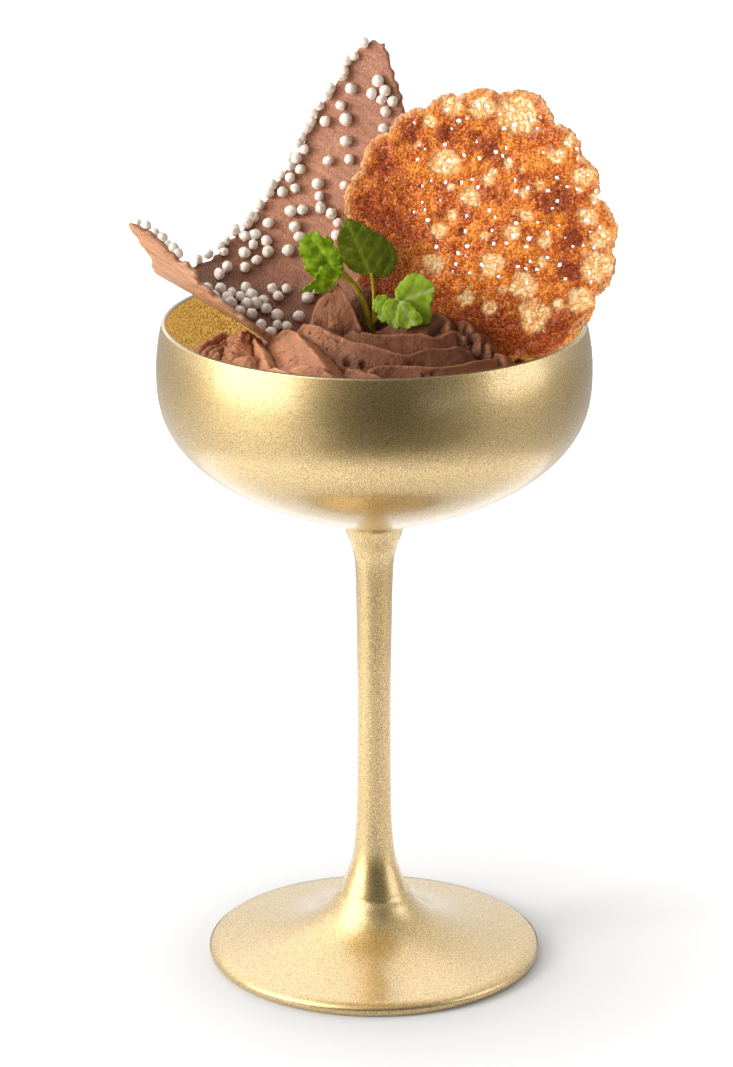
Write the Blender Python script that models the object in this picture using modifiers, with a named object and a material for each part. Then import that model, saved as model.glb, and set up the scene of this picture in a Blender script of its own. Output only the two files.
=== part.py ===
"""A chocolate mousse dessert in a stemmed coupe glass.

Metres, +Z up. The origin is the centre of the foot's underside, and the front of
the dessert faces -Y. Five pieces: the coupe, the piped mousse in its bowl, a curled
chocolate sheet, a round caramel tuile and a herb sprig.
"""

import math

import bmesh
import bpy
from mathutils import Matrix, Vector

MM = 0.001
PIECE_GAP = 0.3  # millimetres left between pieces that touch
POCKET_MARGIN = 0.4  # millimetres that a pocket reaches past the edge of its piece
CREASE_ANGLE = 35.0  # degrees, above which an edge is shaded sharp

# Coupe glass, in millimetres
GLASS_HEIGHT = 164.3
LIP_RADIUS = 51.2
BOWL_RADIUS = 52.6
WIDEST_HEIGHT = 152.4
BOWL_BOTTOM = 112.2
BOWL_INNER_BOTTOM = 114.6
WALL = 1.15
BOWL_ROUNDNESS = 1.147  # exponent across the bowl
BOWL_FULLNESS = 2.655  # exponent down the bowl
BOWL_SPACING = 1.35  # rings lie closer together near the widest one
STEM_JOIN_RADIUS = 8.2
STEM_RINGS = (  # height, radius
    (112.6, 7.3),
    (110.0, 6.6),
    (107.6, 5.7),
    (104.0, 4.9),
    (97.0, 4.55),
    (82.0, 4.3),
    (60.0, 4.2),
    (40.0, 4.3),
    (31.0, 4.7),
    (25.5, 5.4),
    (21.0, 6.8),
    (17.0, 8.4),
    (16.2, 8.5),
    (15.6, 9.4),
)
FOOT_TOP_RADIUS = 40.4
FOOT_EDGE = 2.9  # height of the foot's upper crease
FOOT_SWEEP = 197.0  # strength of the foot's hyperbola
FOOT_SWEEP_SHIFT = 2.0
FOOT_INNER_RING = 10.4
FOOT_RINGS = 6
FOOT_ROUND = ((41.3, 2.2), (41.5, 1.3), (41.1, 0.4), (40.3, 0.0))
GLASS_SEGMENTS = 40
BOWL_INNER_RINGS = 9
BOWL_OUTER_RINGS = 9
UPPER_WALL_RINGS = 2
LIP_STEPS = 4

# Mousse, in millimetres
MOUSSE_WALL_HEIGHT = 146.0  # where the mousse meets the glass
HEAP_CENTRE = (-5.0, -1.0)
HEAP_RADII = (37.5, 35.0)
HEAP_TOP = 159.5
HEAP_SHOULDER = 153.5
MOAT_FLOOR = 147.0
MOAT_WIDTH = 0.2  # of the heap's radius
MOUSSE_SEGMENTS = 120
MOUSSE_RINGS = 38
MOUSSE_GAP = 0.45  # from the glass
MOUSSE_KEPT_FACES = 0.2
PATH_STEPS = 12

# Folds of the mousse: start, bend and end of the crest, then the width, the drop and the
# bulge of its left side and of its right side, looking from start to end
FRONT_FOLDS = (
    ((-15, -3, 166.6), (2, -13, 165.8), (24.5, -1.5, 163.4), (8, 2.4, 1.2), (3.6, 4.2, 2.0)),
    ((-18, -5, 166.2), (2, -24, 161.0), (26, -7.5, 161.8), (7, 2.6, 1.2), (3.8, 4.2, 2.0)),
    ((-10, -28, 159.4), (6, -26, 161.4), (31, -13.5, 159.6), (7, 2.4, 1.2), (3.8, 4.2, 2.0)),
    ((-15, -24, 159.0), (-5, -33, 159.0), (8, -31.5, 156.8), (5, 2.4, 1.2), (3.6, 4.0, 2.0)),
    ((-22.5, -7, 165.8), (-18, -16, 164.0), (-8.5, -30, 158.8), (3, 4.6, 0.9), (11, 4.4, 1.3)),
    ((-29.5, -12.6, 164.2), (-27.6, -17, 164.2), (-25, -27, 159.6), (3, 4.6, 0.9), (7, 3.8, 1.3)),
    ((-33, -3, 163.4), (-33.6, -9, 162.8), (-33, -19, 157.4), (3.4, 4.0, 1.0), (4.4, 3.8, 1.4)),
    ((-35, 7, 161.6), (-41, 0, 161.4), (-40, -13, 156.4), (3.6, 3.6, 1.0), (3.4, 3.6, 1.4)),
)
PEAK = ((-9.4, -0.6, 175.2), (-5.8, -2.2, 171.0), (-2.4, -3.8, 165.4), (3, 7, 1.0), (8, 8.6, 1.0))
FOLD_FOOT_SLOPE = 1.6
BACK_FOLDS = 5
BACK_FOLD_TURN = 34.0  # degrees from one fold at the back to the next
BACK_FOLD_FIRST = 8.0
BACK_FOLD_SWEEP = 40.0
BACK_FOLD_INNER = 14.0
BACK_FOLD_OUTER = 33.0
BACK_FOLD_FOOT = 158.4  # height of its outer end
BACK_FOLD_RISE = 5.4
BACK_FOLD_LEFT = (4.0, 3.6, 2.0)
BACK_FOLD_RIGHT = (8.0, 2.8, 1.2)

# Chocolate sheet, in millimetres: it is curled about straight lines
SHEET_ORIGIN = Vector((-32.0, 2.6, 163.1))
SHEET_YAW = 25.0
SHEET_DIP = 27.0
SHEET_THICKNESS = 1.2
NEAR_CURL = 20.0  # radius of the curl on the near side
FAR_CURL = 30.0  # radius of the lower far side
FAR_CURL_LENGTH = 30.0
TOP_CURL = 90.0
SHEET_STRIP = 4.5
# Outline, unrolled: distance round the curl, then distance along it
SHEET_OUTLINE = (
    (82.5, -14.0),
    (79.0, -16.4),
    (70.0, -16.9),
    (60.0, -17.5),
    (45.0, -16.4),
    (30.0, -17.2),
    (14.0, -18.0),
    (5.0, -20.5),
    (-5.0, -22.5),
    (-13.5, -21.6),
    (-20.0, -22.2),
    (-24.0, -26.5),
    (-26.3, -29.3),
    (-27.8, -24.6),
    (-26.4, -19.9),
    (-25.0, -12.5),
    (-22.0, -5.0),
    (-20.6, 1.0),
    (-19.0, 7.3),
    (-18.4, 11.6),
    (-15.5, 14.5),
    (-10.0, 18.5),
    (-2.0, 23.5),
    (8.0, 27.5),
    (18.0, 29.0),
    (28.0, 27.5),
    (37.2, 21.5),
    (48.3, 16.1),
    (59.1, 10.6),
    (68.5, 4.9),
    (74.2, -0.4),
    (78.5, -5.8),
    (83.2, -10.8),
)

# Caramel tuile, in millimetres
TUILE_CENTRE = Vector((25.0, 4.5, 186.2))
TUILE_LEAN = 11.0  # degrees that its top leans back
TUILE_YAW = -8.0  # degrees that its face turns to the left
TUILE_THICKNESS = 1.8
TUILE_LOBES = (  # degrees from its right side, anticlockwise, and reach from the centre
    (0.0, 33.2),
    (27.0, 31.4),
    (47.0, 31.8),
    (70.0, 34.4),
    (90.0, 33.0),
    (107.0, 32.4),
    (126.0, 32.6),
    (146.0, 33.0),
    (168.0, 33.4),
    (190.0, 33.6),
    (212.0, 33.2),
    (235.0, 33.0),
    (257.0, 33.4),
    (280.0, 33.0),
    (303.0, 33.6),
    (322.0, 34.0),
    (341.0, 34.3),
)
LOBE_CURVE = 0.016  # millimetres lost for each square degree away from a lobe's middle
TUILE_SEGMENTS = 56
TUILE_RINGS = 5
TUILE_WAVE = 0.8  # height of its waves
TUILE_WAVE_ACROSS = 8.0  # length of a wave over one radian
TUILE_WAVE_UP = 10.0

# Herb sprig, in millimetres
STEM_STEPS = 5
LEAF_THICKNESS = 0.6
LEAF_ROWS = 8
LEAF_COLUMNS = 4
STALKS = (  # start, bend and end, then the radius
    ((-1.2, -1.6, 160.0), (-2.6, -2.0, 172.0), (-9.2, -1.0, 176.6), 0.65),
    ((-1.0, -1.4, 160.6), (1.4, -2.0, 170.0), (-0.9, -1.2, 178.2), 0.5),
    ((-0.8, -1.8, 163.6), (1.6, -4.6, 167.6), (6.4, -5.6, 169.6), 0.5),
)
# Leaves: foot, tip, the way the face looks, the two half widths, fold in degrees and droop
LEAVES = {
    "top_leaf": ((-0.9, -1.2, 176.2), (-6.9, 1.6, 190.4), (0.2, -1, 0.1), (4.6, 7.4), 12, 0.6),
    "left_back_leaf": ((-8.0, -1, 176), (-14.6, 0, 186.8), (-0.1, -1, 0.3), (5.6, 4.4), 14, 0.8),
    "left_front_leaf": ((-8, -1.6, 176.6), (-17.4, -4, 172.6), (0.2, -1, 0.7), (4.2, 4.2), 22, 0.6),
    "right_leaf": ((5.6, -5.6, 169.4), (12.8, -6.6, 177.4), (0.1, -1, 0.2), (6.2, 6.2), 16, 0.8),
    "right_low_leaf": ((4.8, -5, 169), (13.8, -8, 165.8), (0, -1, 0.7), (4.4, 4.4), 18, 0.6),
    "small_leaf": ((1.8, -4.2, 167), (2.6, -6, 171.6), (-0.2, -1, 0.2), (2.8, 2.8), 14, 0.3),
}
LEAF_TEETH = 4.0
LEAF_TOOTH_DEPTH = 0.1  # of the leaf's half width
LEAF_FOOT_WIDTH = 0.04  # how far along its round outline the blade starts
LEAF_TIP_WIDTH = 0.04
LEAF_WIDEST = 0.8  # below one, the blade is widest nearer to its foot


def clear_scene():
    for item in list(bpy.data.objects):
        bpy.data.objects.remove(item)


def make_collection(name):
    collection = bpy.data.collections.new(name)
    bpy.context.scene.collection.children.link(collection)
    return collection


def make_material(name, colour, roughness, metallic=0.0):
    material = bpy.data.materials.new(name)
    material.use_nodes = True
    shader = material.node_tree.nodes["Principled BSDF"]
    shader.inputs["Base Color"].default_value = (*colour, 1.0)
    shader.inputs["Roughness"].default_value = roughness
    shader.inputs["Metallic"].default_value = metallic
    return material


def make_object(name, bm, material, collection):
    """A mesh object from a bmesh in millimetres, shaded smooth."""
    bmesh.ops.scale(bm, vec=(MM, MM, MM), verts=bm.verts)
    mesh = bpy.data.meshes.new(name)
    bm.to_mesh(mesh)
    bm.free()
    mesh.shade_smooth()
    mesh.set_sharp_from_angle(angle=math.radians(CREASE_ANGLE))
    mesh.materials.append(material)
    made = bpy.data.objects.new(name, mesh)
    collection.objects.link(made)
    return made


def make_helper(made):
    made.hide_render = True
    made.display_type = "WIRE"


def add_thickness(made, thickness):
    """Gives an open surface a thickness in millimetres, half on each side."""
    solid = made.modifiers.new("thickness", "SOLIDIFY")
    solid.thickness = thickness * MM
    solid.offset = 0.0
    solid.use_even_offset = False


def add_boolean(made, other, operation):
    boolean = made.modifiers.new(f"{operation.lower()}_{other.name}", "BOOLEAN")
    boolean.operation = operation
    boolean.solver = "EXACT"
    boolean.object = other


def bend_point(start, bend, end, share):
    """A point on the curve that leaves start towards bend and arrives at end."""
    first = Vector(start).lerp(Vector(bend), share)
    second = Vector(bend).lerp(Vector(end), share)
    return first.lerp(second, share)


# Coupe glass


def bowl_curve(radius, bottom, last_radius, steps):
    """Rings down the lower bowl, from its widest one to the one of last_radius."""
    depth = WIDEST_HEIGHT - bottom
    last = math.acos((last_radius / radius) ** (BOWL_ROUNDNESS / 2))
    rings = []
    for step in range(steps + 1):
        angle = last * (step / steps) ** BOWL_SPACING
        across = radius * math.cos(angle) ** (2 / BOWL_ROUNDNESS)
        down = depth * math.sin(angle) ** (2 / BOWL_FULLNESS)
        rings.append((across, WIDEST_HEIGHT - down))
    return rings


def upper_wall(radius, lip_radius, top, steps):
    """Rings up the wall above the widest one, drawn in towards the lip."""
    rings = []
    for step in range(1, steps + 1):
        share = step / steps
        height = WIDEST_HEIGHT + (top - WIDEST_HEIGHT) * share
        rings.append((radius - (radius - lip_radius) * share**2, height))
    return rings


def lip_curve(steps):
    """The round lip, from the inner wall over to the outer one."""
    middle = LIP_RADIUS - WALL / 2
    rings = []
    for step in range(1, steps):
        angle = math.pi * (1 - step / steps)
        across = middle + WALL / 2 * math.cos(angle)
        rings.append((across, GLASS_HEIGHT - WALL / 2 + WALL / 2 * math.sin(angle)))
    return rings


def foot_curve():
    """Rings down the foot's upper face, which falls away from the stem."""
    rings = []
    spread = (FOOT_TOP_RADIUS / FOOT_INNER_RING) ** (1 / FOOT_RINGS)
    level = FOOT_SWEEP / (FOOT_TOP_RADIUS + FOOT_SWEEP_SHIFT)
    for step in range(FOOT_RINGS + 1):
        across = FOOT_INNER_RING * spread**step
        height = FOOT_EDGE + FOOT_SWEEP / (across + FOOT_SWEEP_SHIFT) - level
        rings.append((across, height))
    return rings


def coupe_profile():
    """The whole glass: up inside the bowl, over the lip and down to the underside."""
    wall_top = GLASS_HEIGHT - WALL / 2
    inside = bowl_curve(BOWL_RADIUS - WALL, BOWL_INNER_BOTTOM, 0.0, BOWL_INNER_RINGS)
    profile = [(0.0, BOWL_INNER_BOTTOM), *reversed(inside[:-1])]
    profile += upper_wall(BOWL_RADIUS - WALL, LIP_RADIUS - WALL, wall_top, UPPER_WALL_RINGS)
    profile += lip_curve(LIP_STEPS)
    profile += reversed(upper_wall(BOWL_RADIUS, LIP_RADIUS, wall_top, UPPER_WALL_RINGS))
    profile += bowl_curve(BOWL_RADIUS, BOWL_BOTTOM, STEM_JOIN_RADIUS, BOWL_OUTER_RINGS)
    profile += [(radius, height) for height, radius in STEM_RINGS]
    profile += foot_curve()
    profile += FOOT_ROUND
    profile.append((0.0, 0.0))
    return profile


def make_coupe(collection):
    gold = make_material("gold_lacquer", (0.62, 0.45, 0.16), 0.32, 0.85)
    bm = bmesh.new()
    ring = [bm.verts.new((across, 0.0, height)) for across, height in coupe_profile()]
    for upper, lower in zip(ring, ring[1:]):
        bm.edges.new((upper, lower))
    coupe = make_object("coupe", bm, gold, collection)
    turn = coupe.modifiers.new("turn", "SCREW")
    turn.steps = GLASS_SEGMENTS
    turn.render_steps = GLASS_SEGMENTS
    turn.use_merge_vertices = True
    turn.merge_threshold = 0.00001
    return coupe


# Mousse


def back_folds():
    """Folds behind, laid round the heap like the turns of a piping nozzle."""
    folds = []
    for number in range(BACK_FOLDS):
        turn = BACK_FOLD_FIRST + BACK_FOLD_TURN * number
        points = []
        for along in (0.0, 0.5, 1.0):
            angle = math.radians(turn + BACK_FOLD_SWEEP * along)
            reach = BACK_FOLD_OUTER + (BACK_FOLD_INNER - BACK_FOLD_OUTER) * along
            across = HEAP_CENTRE[0] + reach * math.cos(angle)
            back = HEAP_CENTRE[1] + reach * math.sin(angle)
            points.append((across, back, BACK_FOLD_FOOT + BACK_FOLD_RISE * along))
        folds.append((*points, BACK_FOLD_LEFT, BACK_FOLD_RIGHT))
    return folds


def crest_paths():
    """Every fold as the points along its crest and its two sides."""
    paths = []
    for start, bend, end, left, right in (*FRONT_FOLDS, PEAK, *back_folds()):
        crest = [bend_point(start, bend, end, n / PATH_STEPS) for n in range(PATH_STEPS + 1)]
        paths.append((crest, left, right))
    return paths


def side_fall(distance, width, drop, bulge):
    """How far a fold's side has fallen at a distance from its crest."""
    if distance >= width:
        return drop + (distance - width) * FOLD_FOOT_SLOPE
    return drop * (distance / width) ** bulge


def fold_height(place, crest, left, right):
    """The height of one fold over a place, from the nearest stretch of its crest."""
    nearest = None
    for first, second in zip(crest, crest[1:]):
        run = (second - first).to_2d()
        share = (place - first.to_2d()).dot(run) / run.length_squared
        share = min(max(share, 0.0), 1.0)
        point = first.lerp(second, share)
        away = place - point.to_2d()
        if nearest is None or away.length < nearest[0]:
            on_left = run.x * away.y - run.y * away.x > 0
            nearest = (away.length, point.z, on_left)
    distance, height, on_left = nearest
    return height - side_fall(distance, *(left if on_left else right))


def heap_height(place):
    """The smooth heap under the folds, and the moat between it and the glass."""
    across = (place.x - HEAP_CENTRE[0]) / HEAP_RADII[0]
    back = (place.y - HEAP_CENTRE[1]) / HEAP_RADII[1]
    reach = math.hypot(across, back)
    if reach < 1.0:
        return HEAP_SHOULDER + (HEAP_TOP - HEAP_SHOULDER) * (1 - reach**2)
    share = min((reach - 1.0) / MOAT_WIDTH, 1.0)
    ease = share * share * (3 - 2 * share)
    return HEAP_SHOULDER + (MOAT_FLOOR - HEAP_SHOULDER) * ease


def mousse_profile():
    """From the middle of the top out to the glass, then in along the inside of the bowl."""
    radius = BOWL_RADIUS - WALL - MOUSSE_GAP
    bottom = BOWL_INNER_BOTTOM + MOUSSE_GAP
    bowl = bowl_curve(radius, bottom, 0.0, BOWL_INNER_RINGS)
    under = [ring for ring in bowl if ring[1] < MOUSSE_WALL_HEIGHT]
    above = bowl[len(bowl) - len(under) - 1]
    share = (MOUSSE_WALL_HEIGHT - under[0][1]) / (above[1] - under[0][1])
    edge = under[0][0] + (above[0] - under[0][0]) * share
    top = [(edge * n / MOUSSE_RINGS, MOAT_FLOOR) for n in range(MOUSSE_RINGS)]
    return [*top, (edge, MOUSSE_WALL_HEIGHT), *under[:-1], (0.0, bottom)], edge


def make_mousse(collection):
    brown = make_material("chocolate_mousse", (0.33, 0.16, 0.1), 0.45)
    bm = bmesh.new()
    profile, edge = mousse_profile()
    ring = [bm.verts.new((across, 0.0, height)) for across, height in profile]
    line = [bm.edges.new(pair) for pair in zip(ring, ring[1:])]
    top_height = MOAT_FLOOR - 0.001
    bmesh.ops.spin(
        bm,
        geom=[*ring, *line],
        cent=(0.0, 0.0, 0.0),
        axis=(0.0, 0.0, 1.0),
        angle=2 * math.pi,
        steps=MOUSSE_SEGMENTS,
        use_merge=True,
    )
    bmesh.ops.remove_doubles(bm, verts=bm.verts, dist=0.001)
    bmesh.ops.recalc_face_normals(bm, faces=bm.faces)
    crests = crest_paths()
    for vert in bm.verts:
        if vert.co.z < top_height or vert.co.to_2d().length > edge - 0.5:
            continue
        place = vert.co.to_2d()
        folds = [fold_height(place, *crest) for crest in crests]
        vert.co.z = max(heap_height(place), *folds)
    mousse = make_object("mousse", bm, brown, collection)
    thin = mousse.modifiers.new("fewer_faces", "DECIMATE")
    thin.ratio = MOUSSE_KEPT_FACES
    return mousse


# Chocolate sheet


def sheet_axes():
    """The way along the curl, the way round its lowest line, and the way up from it."""
    yaw = math.radians(SHEET_YAW)
    dip = math.radians(SHEET_DIP)
    along = Vector((math.cos(yaw) * math.cos(dip), -math.sin(yaw) * math.cos(dip), -math.sin(dip)))
    around = Vector((math.sin(yaw), math.cos(yaw), 0.0))
    return along, around, along.cross(around)


def curl_section(turn):
    """Across and up for a distance round the curl: tight near, wider far, nearly flat on top."""
    if turn < 0:
        angle = turn / NEAR_CURL
        return NEAR_CURL * math.sin(angle), NEAR_CURL * (1 - math.cos(angle))
    angle = min(turn, FAR_CURL_LENGTH) / FAR_CURL
    across = FAR_CURL * math.sin(angle)
    up = FAR_CURL * (1 - math.cos(angle))
    further = angle + max(turn - FAR_CURL_LENGTH, 0.0) / TOP_CURL
    across += TOP_CURL * (math.sin(further) - math.sin(angle))
    up -= TOP_CURL * (math.cos(further) - math.cos(angle))
    return across, up


def grown_outline(points, margin):
    """The outline moved outwards by a margin."""
    grown = []
    for number, point in enumerate(points):
        before = Vector(points[number - 1])
        after = Vector(points[(number + 1) % len(points)])
        outward = (after - before).orthogonal().normalized()
        grown.append(tuple(Vector(point) + outward * margin))
    return grown


def sheet_mesh(margin):
    bm = bmesh.new()
    outline = [bm.verts.new((*point, 0.0)) for point in grown_outline(SHEET_OUTLINE, margin)]
    border = [bm.edges.new(pair) for pair in zip(outline, [*outline[1:], outline[0]])]
    bmesh.ops.edgeloop_fill(bm, edges=border)
    first = min(point[0] for point in SHEET_OUTLINE)
    last = max(point[0] for point in SHEET_OUTLINE)
    strips = int((last - first) / SHEET_STRIP)
    for strip in range(1, strips + 1):
        cut = first + SHEET_STRIP * strip
        geometry = [*bm.verts, *bm.edges, *bm.faces]
        bmesh.ops.bisect_plane(bm, geom=geometry, plane_co=(cut, 0, 0), plane_no=(1, 0, 0))
    bmesh.ops.triangulate(bm, faces=bm.faces)
    along, around, up = sheet_axes()
    for vert in bm.verts:
        across, rise = curl_section(vert.co.x)
        vert.co = SHEET_ORIGIN + along * vert.co.y + around * across + up * rise
    return bm


def make_sheet(collection, cutters):
    brown = make_material("milk_chocolate", (0.35, 0.17, 0.11), 0.5)
    sheet = make_object("chocolate_sheet", sheet_mesh(0.0), brown, collection)
    add_thickness(sheet, SHEET_THICKNESS)
    cutter = make_object("sheet_pocket", sheet_mesh(POCKET_MARGIN), brown, cutters)
    add_thickness(cutter, SHEET_THICKNESS + 2 * PIECE_GAP)
    make_helper(cutter)
    return sheet, cutter


# Caramel tuile


def tuile_reach(angle):
    """The rim's distance from the centre, on the largest of the lobes there."""
    reach = 0.0
    for middle, lobe in TUILE_LOBES:
        away = (angle - middle + 180.0) % 360.0 - 180.0
        reach = max(reach, lobe - LOBE_CURVE * away**2)
    return reach


def tuile_placement():
    """Stands the flat disc up, turns its face and leans it back."""
    upright = Matrix.Rotation(math.radians(90.0 - TUILE_LEAN), 4, "X")
    turned = Matrix.Rotation(math.radians(TUILE_YAW), 4, "Z")
    return Matrix.Translation(TUILE_CENTRE) @ turned @ upright


def tuile_mesh(margin):
    bm = bmesh.new()
    ring = [bm.verts.new((n / TUILE_RINGS, 0.0, 0.0)) for n in range(TUILE_RINGS + 1)]
    line = [bm.edges.new(pair) for pair in zip(ring, ring[1:])]
    bmesh.ops.spin(
        bm,
        geom=[*ring, *line],
        cent=(0.0, 0.0, 0.0),
        axis=(0.0, 0.0, 1.0),
        angle=2 * math.pi,
        steps=TUILE_SEGMENTS,
        use_merge=True,
    )
    bmesh.ops.remove_doubles(bm, verts=bm.verts, dist=0.001)
    bmesh.ops.recalc_face_normals(bm, faces=bm.faces)
    for vert in bm.verts:
        angle = math.degrees(math.atan2(vert.co.y, vert.co.x))
        place = vert.co * (tuile_reach(angle) + margin)
        wave = math.sin(place.x / TUILE_WAVE_ACROSS + 0.6) * math.cos(place.y / TUILE_WAVE_UP)
        vert.co = (place.x, place.y, TUILE_WAVE * wave)
    bmesh.ops.transform(bm, matrix=tuile_placement(), verts=bm.verts)
    return bm


def make_tuile(collection, cutters):
    caramel = make_material("caramel", (0.6, 0.24, 0.04), 0.3)
    tuile = make_object("caramel_tuile", tuile_mesh(0.0), caramel, collection)
    add_thickness(tuile, TUILE_THICKNESS)
    cutter = make_object("tuile_pocket", tuile_mesh(POCKET_MARGIN), caramel, cutters)
    add_thickness(cutter, TUILE_THICKNESS + 2 * PIECE_GAP)
    make_helper(cutter)
    return tuile, cutter


# Herb sprig


def leaf_mesh(foot, tip, face, widths, fold, droop):
    """A pointed oval blade, toothed along its edge, folded and bent along its rib."""
    foot = Vector(foot)
    rib = Vector(tip) - foot
    length = rib.length
    along = rib.normalized()
    face = Vector(face)
    face = (face - along * face.dot(along)).normalized()
    side = along.cross(face)
    bm = bmesh.new()
    bmesh.ops.create_grid(bm, x_segments=LEAF_ROWS, y_segments=LEAF_COLUMNS, size=1.0)
    for vert in bm.verts:
        share = (vert.co.x + 1) / 2
        place = LEAF_FOOT_WIDTH + (1 - LEAF_FOOT_WIDTH - LEAF_TIP_WIDTH) * share
        blade = math.sin(math.pi * place**LEAF_WIDEST)
        teeth = 1 - LEAF_TOOTH_DEPTH * abs(math.sin(math.pi * LEAF_TEETH * share))
        out = vert.co.y * widths[int(vert.co.y > 0)] * blade * teeth
        lift = abs(out) * math.tan(math.radians(fold)) - droop * (2 * share - 1) ** 2
        vert.co = foot + along * length * share + side * out + face * lift
    return bm


def stalk_object(name, stalk, material, collection, margin):
    """A round stalk along a curve, as a closed mesh."""
    start, bend, end, radius = stalk
    data = bpy.data.curves.new(name, "CURVE")
    data.dimensions = "3D"
    data.bevel_depth = (radius + margin) * MM
    data.bevel_resolution = 1
    data.use_fill_caps = True
    line = data.splines.new("POLY")
    line.points.add(STEM_STEPS)
    for number, point in enumerate(line.points):
        place = bend_point(start, bend, end, number / STEM_STEPS) * MM
        point.co = (*place, 1.0)
    curve = bpy.data.objects.new(name, data)
    collection.objects.link(curve)
    bpy.context.view_layer.update()
    graph = bpy.context.evaluated_depsgraph_get()
    mesh = bpy.data.meshes.new_from_object(curve.evaluated_get(graph))
    bpy.data.objects.remove(curve)
    bm = bmesh.new()
    bm.from_mesh(mesh)
    bmesh.ops.remove_doubles(bm, verts=bm.verts, dist=0.000001)
    bmesh.ops.recalc_face_normals(bm, faces=bm.faces)
    bmesh.ops.scale(bm, vec=(1 / MM, 1 / MM, 1 / MM), verts=bm.verts)
    bpy.data.meshes.remove(mesh)
    return make_object(name, bm, material, collection)


def make_sprig(collection, cutters):
    green = make_material("herb_green", (0.12, 0.3, 0.03), 0.45)
    sprig = stalk_object("herb_sprig", STALKS[0], green, collection, 0.0)
    for number, stalk in enumerate(STALKS[1:]):
        other = stalk_object(f"stalk_{number}", stalk, green, cutters, 0.0)
        make_helper(other)
        add_boolean(sprig, other, "UNION")
    for name, leaf in LEAVES.items():
        blade = make_object(name, leaf_mesh(*leaf), green, cutters)
        add_thickness(blade, LEAF_THICKNESS)
        make_helper(blade)
        add_boolean(sprig, blade, "UNION")
    pockets = []
    for number, stalk in enumerate(STALKS):
        pocket = stalk_object(f"stalk_pocket_{number}", stalk, green, cutters, PIECE_GAP)
        make_helper(pocket)
        pockets.append(pocket)
    return sprig, pockets


def main():
    clear_scene()
    dessert = make_collection("chocolate_mousse_coupe")
    cutters = make_collection("cutters")
    make_coupe(dessert)
    mousse = make_mousse(dessert)
    pockets = [make_sheet(dessert, cutters)[1], make_tuile(dessert, cutters)[1]]
    pockets += make_sprig(dessert, cutters)[1]
    for pocket in pockets:
        add_boolean(mousse, pocket, "DIFFERENCE")


main()
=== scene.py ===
"""The looks of a chocolate mousse in a gold coupe glass.

Metres, +Z up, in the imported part's frame: the origin is the centre of the foot's
underside and the front faces -Y. Shapes are made in millimetres and scaled once.
"""

import math

import bmesh
import bpy
import numpy as np
from mathutils import Matrix, Vector, noise


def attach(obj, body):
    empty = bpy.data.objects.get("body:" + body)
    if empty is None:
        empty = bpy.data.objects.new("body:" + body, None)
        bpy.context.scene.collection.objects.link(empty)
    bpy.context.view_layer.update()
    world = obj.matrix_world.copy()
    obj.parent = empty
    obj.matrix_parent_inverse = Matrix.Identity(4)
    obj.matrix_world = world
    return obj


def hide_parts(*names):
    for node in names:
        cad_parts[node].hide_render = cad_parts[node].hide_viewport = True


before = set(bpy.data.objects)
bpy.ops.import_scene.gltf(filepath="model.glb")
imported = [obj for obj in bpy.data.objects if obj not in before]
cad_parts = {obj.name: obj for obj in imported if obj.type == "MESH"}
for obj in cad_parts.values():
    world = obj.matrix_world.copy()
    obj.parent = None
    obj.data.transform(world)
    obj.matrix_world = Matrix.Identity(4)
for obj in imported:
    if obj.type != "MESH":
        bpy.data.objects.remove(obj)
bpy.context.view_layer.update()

MM = 0.001
NOISE_CELLS = 64  # on a side, before the noise repeats

# Coupe glass, in millimetres
GLASS_HEIGHT = 164.3
LIP_RADIUS = 51.2
BOWL_RADIUS = 52.6
WIDEST_HEIGHT = 152.4
BOWL_BOTTOM = 112.2
BOWL_INNER_BOTTOM = 114.6
WALL = 1.15
BOWL_ROUNDNESS = 1.147  # exponent across the bowl
BOWL_FULLNESS = 2.655  # exponent down the bowl
BOWL_SPACING = 1.35  # rings lie closer together near the widest one
STEM_JOIN_RADIUS = 8.2
STEM_RINGS = (  # height, radius
    (112.6, 7.3), (110.0, 6.6), (107.6, 5.7), (104.0, 4.9), (97.0, 4.55), (82.0, 4.3), (60.0, 4.2),
    (40.0, 4.3), (31.0, 4.7), (25.5, 5.4), (21.0, 6.8), (17.0, 8.4), (16.2, 8.5), (15.6, 9.4),
)
FOOT_TOP_RADIUS = 40.4
FOOT_EDGE = 2.9  # height of the foot's upper crease
FOOT_SWEEP = 197.0  # strength of the foot's hyperbola
FOOT_SWEEP_SHIFT = 2.0
FOOT_INNER_RING = 10.4
FOOT_ROUND = ((41.3, 2.2), (41.5, 1.3), (41.1, 0.4), (40.3, 0.0))
COUPE_SEGMENTS = 160
INSIDE_RINGS = 30
OUTSIDE_RINGS = 40
UPPER_WALL_RINGS = 8
LIP_STEPS = 8
STEM_STEPS = 4
FOOT_RINGS = 24
FOOT_ROUND_STEPS = 3
WELD = 0.0005  # points closer than this are one
CLEAR_LIP = (0.75, 0.15)  # of the bare lip: how far down it ends and how far in it starts, in walls

# Mousse, in millimetres
MOUSSE_OVERLAP = 0.2  # into the wall of the glass
MOUSSE_WALL_HEIGHT = 146.0
HEAP_CENTRE = (-5.0, -1.0)
HEAP_RADII = (37.5, 35.0)
HEAP_TOP = 159.5
HEAP_SHOULDER = 153.5
MOAT_FLOOR = 147.0
MOAT_WIDTH = 0.2
MOUSSE_SEGMENTS = 460
MOUSSE_RINGS = 165
MOUSSE_RING_SPACING = 0.85  # rings lie closer together near the glass
MOUSSE_BOWL_RINGS = 14
MOUSSE_PLAIN_EDGE = 0.3  # width of the plain ring along the glass
FRONT_CROWDING = 0.45  # how much closer together the faces lie at the front
PATH_STEPS = 3  # between two points of a crest
CREASE_DEPTH = 0.9  # of the crease where two folds meet
CREASE_SPREAD = 0.5
FOLD_END = 5.0  # length over which a fold thins out
FOLD_END_DROP = 1.0
FOLD_MARGIN = 12.0
FOLD_FOOT_SLOPE = 1.8
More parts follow.
